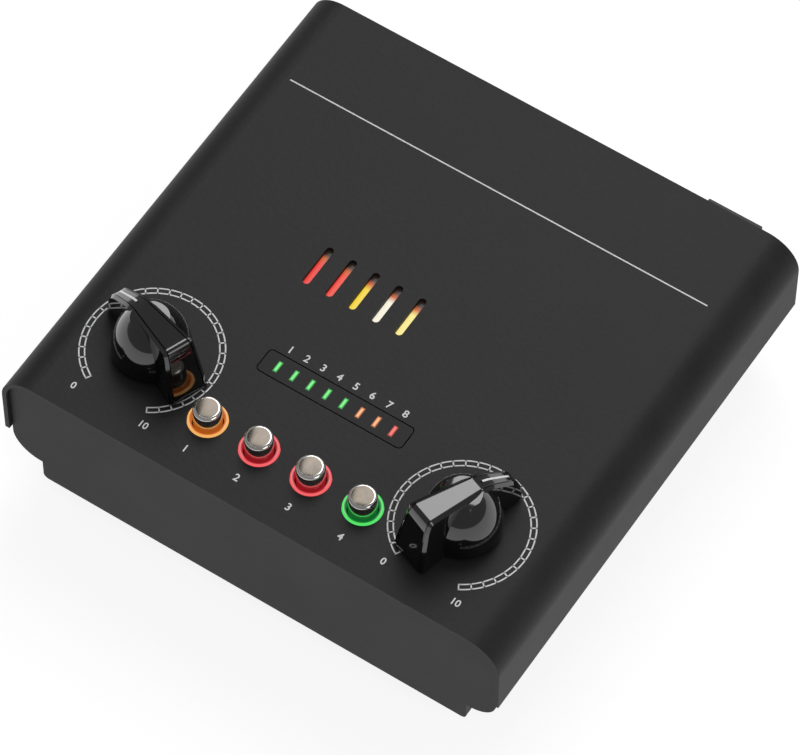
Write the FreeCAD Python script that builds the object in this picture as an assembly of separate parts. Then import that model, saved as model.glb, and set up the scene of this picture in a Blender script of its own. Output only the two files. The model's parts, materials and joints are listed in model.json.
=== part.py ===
"""Desktop valve microphone preamplifier, as an assembly of separate pieces.

Units are millimetres.  +Z is up, the rubber feet stand on Z = 0, the control
panel faces up, -Y is the front and the connectors are on the +Y side.  X = 0 is
the middle of the width and Y = 0 the middle of the whole depth.
"""
import FreeCAD, Part
import math
import os

os.makedirs("parts", exist_ok=True)
Vector = FreeCAD.Vector
X_AXIS = Vector(1, 0, 0)
Y_AXIS = Vector(0, 1, 0)
Z_AXIS = Vector(0, 0, 1)

# ---------------------------------------------------------------- casing sizes
WIDTH = 136.0            # outside of the cover
COVER_DEPTH = 129.4      # front edge to rear edge of the cover
REAR_REACH = 3.6         # jack bushings beyond the cover's rear edge
FOOT_HEIGHT = 6.1
BASE_HEIGHT = 6.6        # narrow base below the body
BODY_HEIGHT = 32.4       # underside of the wide body to the top plane
BASE_WIDTH = 117.6
COVER_SHEET = 1.2
COVER_CORNER_R = 9.0     # outside radius of the cover's two bends
COVER_SIDE_DROP = 23.15  # top plane to the lower edge of the cover's sides
HOUSING_SHEET = 1.2
HOUSING_CORNER_R = 7.3   # bend from the side wall to the underside
BASE_CORNER_R = 1.4
LAP_HEIGHT = 6.0         # housing walls standing up inside the cover
PANEL_THICK = 1.5
PANEL_INSET = 1.1        # panels stand back from the cover's edges
SEAT_GAP = 0.1           # between sheet parts that lie against each other

# ------------------------------------------------------------- control layout
KNOB_X = 42.34
KNOB_FROM_FRONT = 24.3
GAIN_POINTER_DEG = 158.0    # from +X, counter-clockwise, as the unit stands
OUTPUT_POINTER_DEG = 69.5
BUTTON_PITCH = 14.09
BUTTON_FROM_FRONT = 15.8
METER_FROM_FRONT = 36.4
VENT_FROM_FRONT = 64.4
VENT_MIDDLE_X = -10.5
VENT_PITCH = 6.4
VENT_COUNT = 5
VENT_LENGTH = 11.6
VENT_WIDTH = 1.9

# ------------------------------------------------------- knob, pot and nut
KNOB_SKIRT_R = 9.5
KNOB_TOP_R = 4.6
KNOB_HEIGHT = 16.4       # foot of the knob to the tail's crest
KNOB_DISC_HEIGHT = 13.5  # foot of the knob to the skirt's flat top
KNOB_RIDGE_DROP = 2.6    # crest to where the nose starts to fall
KNOB_NOSE_DROP = 8.6     # crest to the break above the tip
KNOB_LIFT = 0.5          # running gap under the knob
KNOB_TAIL = 15.5         # reach of the tail at its foot
KNOB_NOSE = 15.4         # reach of the pointer
KNOB_TAIL_HALF = 5.2     # half widths of the grip bar at its foot
KNOB_NOSE_HALF = 2.3
KNOB_DRAFT = 1.1         # each side of the bar leans in this much by its top
KNOB_EDGE_R = 0.3        # along the bar's upper edges
KNOB_TAIL_LEAN = 3.3     # the tail's crest stands this far inside its foot
KNOB_TAIL_CORNER_R = 1.8
KNOB_STOCK_MARGIN = 0.2  # how far the bar's side outline stands past its plan
KNOB_SIDE_REACH = 9.0    # half width of the stock the bar is shaped from
SKIRT_BAND = 1.6         # upright band at the skirt's foot
SKIRT_SHOULDER_IN = 1.3  # the bell's shoulder, inward and up from the foot
SKIRT_SHOULDER_UP = 8.0
KNOB_CAVITY_R = 7.4
KNOB_CAVITY_DEPTH = 3.0
SHAFT_R = 3.0
SHAFT_IN_KNOB = 11.0
SHAFT_FLAT = 1.5         # depth of the flat on the shaft
PRESS_GAP = 0.04         # radial, knob on shaft
RUN_GAP = 0.06           # radial, shaft in bushing
BUSHING_R = 3.5
BUSHING_ABOVE = 2.4      # bushing standing above the top plane
POT_WIDTH = 9.8
POT_LENGTH = 11.4
POT_HEIGHT = 6.6
NUT_AF = 10.0
NUT_HEIGHT = 2.0
HOLE_GAP = 0.2           # radial, bushings and screws in sheet holes

# --------------------------------------------------------- button and light
BUTTON_R = 3.45
BUTTON_TOP = 5.3         # cap above the top plane
BUTTON_EDGE = 0.55
BUTTON_TRAVEL = 1.6
BUTTON_SKIRT = 6.9       # height of the plated cap
STEM_R = 1.6
RING_R = 4.75
RING_WALL = 0.95
RING_PROUD = 0.35
RING_FLANGE_R = 5.7
RING_FLANGE = 0.8
SWITCH_SIDE = 7.0
SWITCH_HEIGHT = 3.2
SWITCH_WELL = 2.2        # room for the stem inside the switch

# ------------------------------------------------------------------ level meter
METER_COUNT = 8
METER_PITCH = 4.5
METER_GREEN = 5
METER_AMBER = 2
METER_WIDTH = 39.4
METER_HEIGHT = 6.2
METER_CORNER_R = 1.0
METER_GAP = 0.28         # visible seam round the window
METER_LIP = 1.2          # flange behind the cover
METER_LIP_THICK = 0.8
LED_WIDTH = 1.1
LED_LENGTH = 3.1
LED_GAP = 0.06

# ------------------------------------------------------------------- boards
BOARD_THICK = 1.6
MAIN_BOARD_LIFT = 4.6    # standoff height above the housing floor
MAIN_BOARD_WIDTH = 94.0
MAIN_BOARD_BACK = 3.0    # board edge to the rear panel
MAIN_BOARD_FRONT = 9.0   # board edge to the front panel
CONTROL_BOARD_WIDTH = 112.0
CONTROL_BOARD_DEPTH = 36.0
CONTROL_BOARD_FRONT = 5.0
POST_R = 2.75
SCREW_R = 1.5
SCREW_HEAD_R = 2.8
SCREW_HEAD = 1.8
STANDOFF_R = 2.7

# --------------------------------------------------------------------- feet
FOOT_X = 52.0
FOOT_FRONT = 28.7        # from the cover's front edge
FOOT_PITCH = 64.0
FOOT_R = 6.0
FOOT_TAPER = 0.7
FOOT_RECESS_R = 3.2
FOOT_RECESS = 3.0

# ----------------------------------------------------------------- valve
TUBE_R = 10.8
TUBE_LENGTH = 44.0
TUBE_TOP_GAP = 2.2       # glass below the cover's underside
TUBE_GLASS = 0.9
TUBE_MIDDLE_X = -12.5
TUBE_PIN_LENGTH = 6.0
TUBE_PIN_R = 0.5
TUBE_PIN_CIRCLE_R = 5.95
TUBE_PIN_COUNT = 9
PLATE_WIDTH = 9.0
PLATE_HEIGHT = 12.0
PLATE_LENGTH = 13.0
MICA_R = 8.6
MICA_THICK = 0.4
SOCKET_R = 9.4
SOCKET_LENGTH = 7.0
BRACKET_THICK = 1.2
BRACKET_FOOT = 9.0
BRACKET_WIDTH = 24.0
GLOW_R = 1.5
GLOW_HEIGHT = 4.6

# ------------------------------------------------------------ rear connectors
MIC_X = 49.3
LINE_IN_X = 25.0
LINE_OUT_X = 6.0
XLR_OUT_X = -20.0
POWER_X = -46.0
XLR_BELOW_TOP = 18.8
JACK_BELOW_TOP = 20.0
POWER_BELOW_TOP = 21.0
FLANGE_WIDTH = 26.0
FLANGE_HEIGHT = 31.0
FLANGE_THICK = 1.9
FLANGE_CORNER_R = 2.6
FLANGE_SCREW_X = 10.0
FLANGE_SCREW_Z = 12.0
FLANGE_HEAD_R = 2.5
XLR_BODY_R = 11.8
XLR_BODY_DEPTH = 21.0
MIC_BORE_R = 9.65
MIC_BORE_DEPTH = 16.0
MIC_INSERT_R = 7.7
MIC_SOCKET_R = 1.35
PIN_CIRCLE_R = 4.05
PIN_R = 1.2
PIN_LENGTH = 11.0
PIN_ROOT = 5.0
OUT_BORE_R = 7.95
OUT_BORE_DEPTH = 14.0
LATCH_WIDTH = 14.6
LATCH_THICK = 2.2
LATCH_BELOW_TOP = 2.0
LATCH_REACH = 2.1        # beyond the cover's rear edge
LATCH_TRAVEL = 1.2
LATCH_ARM_WIDTH = 5.0
LATCH_ARM_THICK = 1.1
LATCH_ARM_LENGTH = 13.0
LATCH_HOOK = 1.1
LATCH_GAP = 0.35
JACK_BORE_R = 3.2
JACK_BUSHING_R = 4.7
JACK_NUT_AF = 12.0
JACK_NUT_HEIGHT = 2.0
JACK_BODY_WIDTH = 15.4
JACK_BODY_HEIGHT = 14.0
JACK_BODY_DEPTH = 24.0
POWER_BORE_R = 2.95
POWER_DEPTH = 9.6
POWER_WIDTH = 9.4
POWER_HEIGHT = 11.0
POWER_LENGTH = 14.2
POWER_PIN_R = 1.0
POWER_FACE = 0.6

# ------------------------------------------------------ parts on the main board
CAPACITOR_PLACES = ((30.0, 86.5, 5.0, 12.0), (18.5, 86.5, 5.0, 12.0),
                    (38.0, 72.5, 4.0, 11.0), (-24.0, 90.5, 4.0, 11.0),
                    (38.0, 60.5, 4.0, 11.0), (-38.0, 42.5, 4.0, 11.0))
CHIP_PLACES = ((8.0, 42.5), (24.0, 42.5), (-10.0, 42.5))
CHIP_SIZE = (9.6, 6.4, 3.4)
REGULATOR_PLACE = (-40.0, 82.5)
HEAT_SINK_WIDTH = 13.0
HEAT_SINK_HEIGHT = 20.0
HEAT_SINK_DEPTH = 9.0
HEAT_SINK_FIN = 1.2
HEAT_SINK_FINS = 4
LINK_PLACE = (-30.0, 25.5)
LINK_LENGTH = 22.0
LINK_WIDTH = 5.0

# ----------------------------------------------------------- derived places
Z_BASE = FOOT_HEIGHT
Z_LEDGE = Z_BASE + BASE_HEIGHT
Z_TOP = Z_LEDGE + BODY_HEIGHT
Z_SIDE = Z_TOP - COVER_SIDE_DROP
Z_UNDER_COVER = Z_TOP - COVER_SHEET
XLR_Z = Z_TOP - XLR_BELOW_TOP
JACK_Z = Z_TOP - JACK_BELOW_TOP
POWER_Z = Z_TOP - POWER_BELOW_TOP
Z_FLOOR = Z_BASE + HOUSING_SHEET
Z_MAIN = Z_FLOOR + MAIN_BOARD_LIFT
Z_MAIN_TOP = Z_MAIN + BOARD_THICK
Z_CONTROL_TOP = Z_UNDER_COVER - POT_HEIGHT
Z_CONTROL = Z_CONTROL_TOP - BOARD_THICK
Y_FRONT = -(COVER_DEPTH + REAR_REACH) / 2
Y_REAR = Y_FRONT + COVER_DEPTH
Y_END = Y_REAR + REAR_REACH
Y_FACE = Y_FRONT + PANEL_INSET
Y_BACK = Y_REAR - PANEL_INSET
Y_INNER_FRONT = Y_FACE + PANEL_THICK
Y_INNER_BACK = Y_BACK - PANEL_THICK
CORE_HALF = WIDTH / 2 - COVER_SHEET - SEAT_GAP
KNOB_Y = Y_FRONT + KNOB_FROM_FRONT
BUTTON_Y = Y_FRONT + BUTTON_FROM_FRONT
METER_Y = Y_FRONT + METER_FROM_FRONT
VENT_Y = Y_FRONT + VENT_FROM_FRONT
TUBE_Z = Z_UNDER_COVER - TUBE_TOP_GAP - TUBE_R
BUTTON_XS = [BUTTON_PITCH * (i - 1.5) for i in range(4)]
METER_XS = [METER_PITCH * (i - (METER_COUNT - 1) / 2) for i in range(METER_COUNT)]
VENT_XS = [VENT_MIDDLE_X + VENT_PITCH * (i - (VENT_COUNT - 1) / 2) for i in range(VENT_COUNT)]
FOOT_PLACES = [(sx * FOOT_X, Y_FRONT + FOOT_FRONT + k * FOOT_PITCH)
               for sx in (-1, 1) for k in (0, 1)]


# ------------------------------------------------------------------ helpers
def block(x0, x1, y0, y1, z0, z1):
    """Box between two corners."""
    return Part.makeBox(x1 - x0, y1 - y0, z1 - z0, Vector(x0, y0, z0))


def rod(radius, start, end):
    """Cylinder from one point to another."""
    run = Vector(*end) - Vector(*start)
    return Part.makeCylinder(radius, run.Length, Vector(*start), run)


def rounded_wire(corners, place):
    """Closed wire through (u, v, radius) corners, each turned into a tangent arc.

    place(u, v) gives the point in space.
    """
    starts = []
    for i, (u, v, radius) in enumerate(corners):
        before = corners[i - 1]
        after = corners[(i + 1) % len(corners)]
        here = Vector(u, v, 0)
        back = (Vector(before[0], before[1], 0) - here).normalize()
        ahead = (Vector(after[0], after[1], 0) - here).normalize()
        half = back.getAngle(ahead) / 2
        if radius:
            cut = radius / math.tan(half)
            middle = here + (back + ahead).normalize() * (radius / math.sin(half) - radius)
        else:
            cut = 0.0
            middle = here
        starts.append((here + back * cut, middle, here + ahead * cut, radius))
    edges = []
    for i, (enter, middle, leave, radius) in enumerate(starts):
        if radius:
            arc = Part.Arc(place(enter.x, enter.y), place(middle.x, middle.y), place(leave.x, leave.y))
            edges.append(arc.toShape())
        following = starts[(i + 1) % len(starts)][0]
        if (following - leave).Length > 1e-6:
            run = Part.LineSegment(place(leave.x, leave.y), place(following.x, following.y))
            edges.append(run.toShape())
    return Part.Wire(edges)


def section_prism(corners, y0, y1):
    """Rounded outline in the XZ plane, carried from y0 to y1."""
    wire = rounded_wire(corners, lambda u, v: Vector(u, y0, v))
    return Part.Face(wire).extrude(Vector(0, y1 - y0, 0))


def plate(width, depth, radius, x, y, z0, z1):
    """Flat plate with rounded corners, lying in the XY plane."""
    a = width / 2
    b = depth / 2
    corners = [(x - a, y - b, radius), (x + a, y - b, radius), (x + a, y + b, radius), (x - a, y + b, radius)]
    wire = rounded_wire(corners, lambda u, v: Vector(u, v, z0))
    return Part.Face(wire).extrude(Vector(0, 0, z1 - z0))


def hexagon(across_flats, height, base, axis):
    """Hexagon prism standing on base along axis."""
    radius = across_flats / math.sqrt(3)
    side = X_AXIS if abs(axis.x) < 0.5 else Y_AXIS
    other = axis.cross(side)
    points = []
    for i in range(7):
        turn = math.radians(60 * i)
        points.append(base + side * (radius * math.cos(turn)) + other * (radius * math.sin(turn)))
    return Part.Face(Part.makePolygon(points)).extrude(axis * height)


def revolved(profile, base, axis=Z_AXIS):
    """Solid of revolution from (radius, height) points, turned about axis at base."""
    side = X_AXIS if abs(axis.x) < 0.5 else Y_AXIS
    points = [base + side * r + axis * h for r, h in profile]
    points.append(points[0])
    return Part.Face(Part.makePolygon(points)).revolve(base, axis, 360)


def pan_screw(base, axis, shank, shank_r=SCREW_R, head_r=SCREW_HEAD_R, head=SCREW_HEAD):
    """Pan-head screw: its head stands on base against axis, its shank runs along axis."""
    body = Part.makeCylinder(head_r, head, base - axis * head, axis)
    rim = [e for e in body.Edges if e.BoundBox.Center.distanceToPoint(base - axis * head) < 1e-6]
    body = body.makeFillet(head * 0.45, rim)
    body = body.fuse(Part.makeCylinder(shank_r, shank, base, axis)).removeSplitter()
    side = X_AXIS if abs(axis.x) < 0.5 else Y_AXIS
    slot_long = head_r * 0.62
    slot_half = head_r * 0.13
    for along, across in ((side, axis.cross(side)), (axis.cross(side), side)):
        foot = base - axis * (head + 0.01)
        corners = [foot + along * (s * slot_long) + across * (t * slot_half)
                   for s, t in ((-1, -1), (1, -1), (1, 1), (-1, 1), (-1, -1))]
        body = body.cut(Part.Face(Part.makePolygon(corners)).extrude(axis * (head * 0.6)))
    return body


def edges_where(shape, test):
    """Edges of a shape whose box and direction pass a test."""
    return [e for e in shape.Edges if test(e)]


def save(name, *solids):
    """Write one node's STEP file; several solids stay separate in it."""
    shape = solids[0] if len(solids) == 1 else Part.makeCompound(list(solids))
    for solid in shape.Solids:
        if not solid.isValid():
            raise ValueError(name + " has a faulty solid")
    shape.exportStep("parts/" + name + ".step")
    print(name, len(shape.Solids), "solids", round(shape.Volume, 1), "mm3")


# ------------------------------------------------------------------- casing
def cover_corners(shrink, z_low):
    """Outline of the cover's section, shrunk inwards by a wall."""
    half = WIDTH / 2 - shrink
    radius = COVER_CORNER_R - shrink
    top = Z_TOP - shrink
    return [(-half, z_low, 0), (half, z_low, 0), (half, top, radius), (-half, top, radius)]


def core_corners(shrink, z_high, top_radius):
    """Outline of the stepped body inside the cover, shrunk inwards by a wall."""
    half = CORE_HALF - shrink
    base = BASE_WIDTH / 2 - shrink
    return [(-base, Z_BASE + shrink, BASE_CORNER_R - shrink), (base, Z_BASE + shrink, BASE_CORNER_R - shrink),
            (base, Z_LEDGE + shrink, 0), (half, Z_LEDGE + shrink, HOUSING_CORNER_R - shrink),
            (half, z_high, top_radius), (-half, z_high, top_radius),
            (-half, Z_LEDGE + shrink, HOUSING_CORNER_R - shrink), (-base, Z_LEDGE + shrink, 0)]


def make_top_cover():
    """Bent sheet cover with its control, meter and vent openings."""
    shell = section_prism(cover_corners(0, Z_SIDE), Y_FRONT, Y_REAR)
    inside = section_prism(cover_corners(COVER_SHEET, Z_SIDE - 1), Y_FRONT - 1, Y_REAR + 1)
    cover = shell.cut(inside)
    low = Z_UNDER_COVER - 1
    high = Z_TOP + 1
    cutters = [rod(BUSHING_R + HOLE_GAP, (sx * KNOB_X, KNOB_Y, low), (sx * KNOB_X, KNOB_Y, high))
               for sx in (-1, 1)]
    cutters += [rod(RING_R + SEAT_GAP, (x, BUTTON_Y, low), (x, BUTTON_Y, high)) for x in BUTTON_XS]
    cutters += [plate(VENT_WIDTH, VENT_LENGTH, VENT_WIDTH / 2 - 0.01, x, VENT_Y, low, high) for x in VENT_XS]
    cutters.append(plate(METER_WIDTH + 2 * METER_GAP, METER_HEIGHT + 2 * METER_GAP,
                         METER_CORNER_R + METER_GAP, 0, METER_Y, low, high))
    return cover.cut(cutters)


def make_lower_housing():
    """Trough that closes the body below: side laps, rounded ledges and narrow base."""
    top = Z_SIDE + LAP_HEIGHT
    outer = section_prism(core_corners(0, top, 0), Y_INNER_FRONT, Y_INNER_BACK)
    inner = section_prism(core_corners(HOUSING_SHEET, top + 1, 0), Y_INNER_FRONT - 1, Y_INNER_BACK + 1)
    housing = outer.cut(inner)
    holes = [rod(SCREW_R + HOLE_GAP, (x, y, Z_BASE - 1), (x, y, Z_FLOOR + 1)) for x, y in FOOT_PLACES]
    return housing.cut(holes)


def end_panel(y0, y1):
    """Flat end plate that fills the section inside the cover and the step below it."""
    top = Z_UNDER_COVER - SEAT_GAP
    radius = COVER_CORNER_R - COVER_SHEET - SEAT_GAP
    return section_prism(core_corners(0, top, radius), y0, y1)


def make_rear_panel():
    """Rear plate with the connector and latch openings."""
    panel = end_panel(Y_INNER_BACK, Y_BACK)
    y0 = Y_INNER_BACK - 1
    y1 = Y_BACK + 1
    cutters = [rod(XLR_BODY_R + HOLE_GAP, (x, y0, XLR_Z), (x, y1, XLR_Z)) for x in (MIC_X, XLR_OUT_X)]
    cutters += [rod(JACK_BUSHING_R + HOLE_GAP, (x, y0, JACK_Z), (x, y1, JACK_Z)) for x in (LINE_IN_X, LINE_OUT_X)]
    for x, z in xlr_screw_places():
        cutters.append(rod(SCREW_R + HOLE_GAP, (x, y0, z), (x, y1, z)))
    half = LATCH_WIDTH / 2 + LATCH_GAP
    cutters.append(block(MIC_X - half, MIC_X + half, y0, y1, latch_floor(), Z_TOP))
    half = POWER_WIDTH / 2 + HOLE_GAP
    rise = POWER_HEIGHT / 2 + HOLE_GAP
    cutters.append(block(POWER_X - half, POWER_X + half, y0, y1, POWER_Z - rise, POWER_Z + rise))
    return panel.cut(cutters)


def make_feet():
    """Four tapered rubber feet with a screw recess, and the screws that hold the unit together."""
    feet = []
    screws = []
    posts = []
    for x, y in FOOT_PLACES:
        foot = Part.makeCone(FOOT_R - FOOT_TAPER, FOOT_R, FOOT_HEIGHT, Vector(x, y, 0))
        rim = edges_where(foot, lambda e: e.BoundBox.ZMax < 1e-6)
        foot = foot.makeFillet(FOOT_TAPER * 0.8, rim)
        foot = foot.cut(rod(FOOT_RECESS_R, (x, y, -1), (x, y, FOOT_RECESS)))
        feet.append(foot.cut(rod(SCREW_R + HOLE_GAP, (x, y, -1), (x, y, FOOT_HEIGHT + 1))))
        depth = Z_FLOOR - FOOT_RECESS + SCREW_R * 4
        screws.append(pan_screw(Vector(x, y, FOOT_RECESS), Z_AXIS, depth))
        post = rod(POST_R, (x, y, Z_FLOOR), (x, y, Z_UNDER_COVER))
        posts.append(post.cut(rod(SCREW_R + RUN_GAP, (x, y, Z_FLOOR - 1), (x, y, Z_FLOOR + SCREW_R * 5))))
    return feet, screws, posts


# ----------------------------------------------------------- knobs and pots
def make_knob(sx, pointer_deg):
    """Pointer knob: round skirt, tapered grip bar with a falling nose, shaft bore and nut cavity."""
    foot = Z_TOP + KNOB_LIFT
    crown = foot + KNOB_HEIGHT
    disc = foot + KNOB_DISC_HEIGHT
    band = foot + SKIRT_BAND
    shoulder = Vector(KNOB_SKIRT_R - SKIRT_SHOULDER_IN, 0, foot + SKIRT_SHOULDER_UP)
    skirt_profile = [Part.makeLine(Vector(0, 0, foot), Vector(KNOB_SKIRT_R, 0, foot)),
                     Part.makeLine(Vector(KNOB_SKIRT_R, 0, foot), Vector(KNOB_SKIRT_R, 0, band)),
                     Part.Arc(Vector(KNOB_SKIRT_R, 0, band), shoulder, Vector(KNOB_TOP_R, 0, disc)).toShape(),
                     Part.makeLine(Vector(KNOB_TOP_R, 0, disc), Vector(0, 0, disc)),
                     Part.makeLine(Vector(0, 0, disc), Vector(0, 0, foot))]
    skirt = Part.Face(Part.Wire(skirt_profile)).revolve(Vector(0, 0, 0), Z_AXIS, 360)
    tail_back = -KNOB_TAIL - KNOB_STOCK_MARGIN
    crest = -KNOB_TAIL + KNOB_TAIL_LEAN
    side = [(tail_back, foot, 0), (tail_back + KNOB_TAIL_LEAN * 0.86, crown - 2.2, 3.0),
            (crest - 0.6, crown + 0.1, 2.0), (5.6, crown - KNOB_RIDGE_DROP, 9.0),
            (KNOB_NOSE - 1.8, crown - KNOB_NOSE_DROP, 3.0), (KNOB_NOSE, foot + 3.4, 1.6),
            (KNOB_NOSE - 0.3, foot, 0.3)]
    wire = rounded_wire(side, lambda u, v: Vector(u, -KNOB_SIDE_REACH, v))
    bar = Part.Face(wire).extrude(Vector(0, KNOB_SIDE_REACH * 2, 0))
    wedge_foot = grip_outline(KNOB_TAIL, KNOB_TAIL_HALF, KNOB_NOSE_HALF, foot)
    wedge_crown = grip_outline(KNOB_TAIL - KNOB_TAIL_LEAN, KNOB_TAIL_HALF - KNOB_DRAFT,
                               KNOB_NOSE_HALF - KNOB_DRAFT * 0.6, crown + 1)
    bar = bar.common(Part.makeLoft([wedge_foot, wedge_crown], True, True))
    upper = edges_where(bar, lambda e: e.BoundBox.ZMin > foot + 0.6 and e.BoundBox.XLength > 0.2
                        and e.BoundBox.YLength < 3)
    bar = bar.makeFillet(KNOB_EDGE_R, upper)
    knob = skirt.fuse(bar).removeSplitter()
    knob = knob.cut(Part.makeCylinder(KNOB_CAVITY_R, KNOB_CAVITY_DEPTH + 1, Vector(0, 0, foot - 1)))
    bore = shaft_solid(SHAFT_R + PRESS_GAP, foot - 1, Z_TOP + SHAFT_IN_KNOB + 0.1, PRESS_GAP)
    knob = knob.cut(bore)
    knob.rotate(Vector(0, 0, 0), Z_AXIS, pointer_deg)
    knob.translate(Vector(sx * KNOB_X, KNOB_Y, 0))
    return knob


def grip_outline(tail, tail_half, nose_half, z):
    """Plan of the grip bar at one height: square nose, rounded tail corners."""
    corners = [(-tail, -tail_half, KNOB_TAIL_CORNER_R), (17, -nose_half, 0), (17, nose_half, 0),
               (-tail, tail_half, KNOB_TAIL_CORNER_R)]
    return rounded_wire(corners, lambda u, v: Vector(u, v, z))


def shaft_solid(radius, z0, z1, widen=0.0):
    """Round shaft with a flat on its upper half."""
    shaft = rod(radius, (0, 0, z0), (0, 0, z1))
    flat_start = Z_TOP + BUSHING_ABOVE + 0.6 - widen
    edge = SHAFT_R - SHAFT_FLAT + widen
    return shaft.cut(block(edge, SHAFT_R * 2, -SHAFT_R * 2, SHAFT_R * 2, flat_start, z1 + 1))


def make_pot(sx, pointer_deg):
    """Potentiometer body with its bushing, the turning shaft, and the nut that clamps it."""
    x = sx * KNOB_X
    body = block(x - POT_WIDTH / 2, x + POT_WIDTH / 2, KNOB_Y - POT_LENGTH * 0.6, KNOB_Y + POT_LENGTH * 0.4,
                 Z_CONTROL_TOP, Z_UNDER_COVER)
    upright = edges_where(body, lambda e: e.BoundBox.ZLength > POT_HEIGHT - 1e-6)
    body = body.makeFillet(0.8, upright)
    bushing = rod(BUSHING_R, (x, KNOB_Y, Z_UNDER_COVER), (x, KNOB_Y, Z_TOP + BUSHING_ABOVE))
    well = Z_CONTROL_TOP + 1.4
    body = body.fuse(bushing).cut(rod(SHAFT_R + RUN_GAP, (x, KNOB_Y, well), (x, KNOB_Y, Z_TOP + 9)))
    shaft = shaft_solid(SHAFT_R, well + RUN_GAP, Z_TOP + SHAFT_IN_KNOB)
    shaft.rotate(Vector(0, 0, 0), Z_AXIS, pointer_deg)
    shaft.translate(Vector(x, KNOB_Y, 0))
    nut = hexagon(NUT_AF, NUT_HEIGHT, Vector(x, KNOB_Y, Z_TOP), Z_AXIS)
    nut = nut.cut(rod(BUSHING_R + RUN_GAP, (x, KNOB_Y, Z_TOP - 1), (x, KNOB_Y, Z_TOP + NUT_HEIGHT + 1)))
    return body, shaft, nut


# -------------------------------------------------------- buttons and lights
def make_button(x):
    """Plated push cap with a rounded rim and the stem that works its switch."""
    top = Z_TOP + BUTTON_TOP
    cap = rod(BUTTON_R, (x, BUTTON_Y, top - BUTTON_SKIRT), (x, BUTTON_Y, top))
    rim = edges_where(cap, lambda e: e.BoundBox.ZMin > top - 1e-6)
    cap = cap.makeFillet(BUTTON_EDGE, rim)
    stem_foot = Z_CONTROL_TOP + SWITCH_HEIGHT - SWITCH_WELL + BUTTON_TRAVEL + 0.2
    return cap.fuse(rod(STEM_R, (x, BUTTON_Y, stem_foot), (x, BUTTON_Y, top - BUTTON_SKIRT))).removeSplitter()


def make_light_ring(x):
    """Clear light guide round a button, flanged under the cover."""
    profile = [(RING_R - RING_WALL, -RING_FLANGE - COVER_SHEET), (RING_FLANGE_R, -RING_FLANGE - COVER_SHEET),
               (RING_FLANGE_R, -COVER_SHEET), (RING_R, -COVER_SHEET), (RING_R, RING_PROUD * 0.5),
               (RING_R - 0.3, RING_PROUD), (RING_R - RING_WALL + 0.25, RING_PROUD),
               (RING_R - RING_WALL, RING_PROUD * 0.2)]
    return revolved(profile, Vector(x, BUTTON_Y, Z_TOP))


def make_switch(x):
    """Latching push switch on the control board, with the well its stem slides in."""
    half = SWITCH_SIDE / 2
    top = Z_CONTROL_TOP + SWITCH_HEIGHT
    body = block(x - half, x + half, BUTTON_Y - half, BUTTON_Y + half, Z_CONTROL_TOP, top)
    return body.cut(rod(STEM_R + RUN_GAP, (x, BUTTON_Y, top - SWITCH_WELL), (x, BUTTON_Y, top + 1)))


# --------------------------------------------------------------- level meter
def make_meter_window():
    """Flush window with one slot for each light bar and a lip behind the cover."""
    face = plate(METER_WIDTH, METER_HEIGHT, METER_CORNER_R, 0, METER_Y, Z_UNDER_COVER - 0.01, Z_TOP)
    lip = plate(METER_WIDTH + 2 * METER_LIP, METER_HEIGHT + 2 * METER_LIP, METER_CORNER_R + METER_LIP,
                0, METER_Y, Z_UNDER_COVER - METER_LIP_THICK, Z_UNDER_COVER)
    window = face.fuse(lip).removeSplitter()
    return window.cut([led_block(x, LED_GAP, Z_UNDER_COVER - 3, Z_TOP + 1) for x in METER_XS])


def led_block(x, grow, z0, z1):
    """Upright bar of one meter light."""
    a = LED_WIDTH / 2 + grow
    b = LED_LENGTH / 2 + grow
    return block(x - a, x + a, METER_Y - b, METER_Y + b, z0, z1)


def make_meter_lights():
    """Eight upright light bars, standing on the control board and flush with the window."""
    return [led_block(x, 0, Z_CONTROL_TOP, Z_TOP - 0.05) for x in METER_XS]


# -------------------------------------------------------------------- boards
def board_places():
    """Four standoff places of the main board."""
    half = MAIN_BOARD_WIDTH / 2 - 4.0
    front = Y_INNER_FRONT + MAIN_BOARD_FRONT + 4.0
    back = Y_INNER_BACK - 28.0
    return [(sx * half, y) for sx in (-1, 1) for y in (front, back)]


def make_main_board():
    """Main circuit board on four tapped standoffs, with the screws that hold it."""
    half = MAIN_BOARD_WIDTH / 2
    y0 = Y_INNER_FRONT + MAIN_BOARD_FRONT
    y1 = Y_INNER_BACK - MAIN_BOARD_BACK
    board = block(-half, half, y0, y1, Z_MAIN, Z_MAIN_TOP)
    standoffs = []
    screws = []
    for x, y in board_places():
        board = board.cut(rod(SCREW_R + HOLE_GAP, (x, y, Z_MAIN - 1), (x, y, Z_MAIN_TOP + 1)))
        post = rod(STANDOFF_R, (x, y, Z_FLOOR), (x, y, Z_MAIN))
        standoffs.append(post.cut(rod(SCREW_R + RUN_GAP, (x, y, Z_FLOOR - 1), (x, y, Z_MAIN + 1))))
        screws.append(pan_screw(Vector(x, y, Z_MAIN_TOP), Z_AXIS * -1, BOARD_THICK + MAIN_BOARD_LIFT - 0.4))
    return board, standoffs, screws


def make_control_board():
    """Upper board that carries pots, switches and meter lights, notched round the posts."""
    half = CONTROL_BOARD_WIDTH / 2
    y0 = Y_INNER_FRONT + CONTROL_BOARD_FRONT
    board = block(-half, half, y0, y0 + CONTROL_BOARD_DEPTH, Z_CONTROL, Z_CONTROL_TOP)
    notch = POST_R + 0.6
    for x, y in FOOT_PLACES:
        board = board.cut(rod(notch, (x, y, Z_CONTROL - 1), (x, y, Z_CONTROL_TOP + 1)))
    return board


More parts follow.
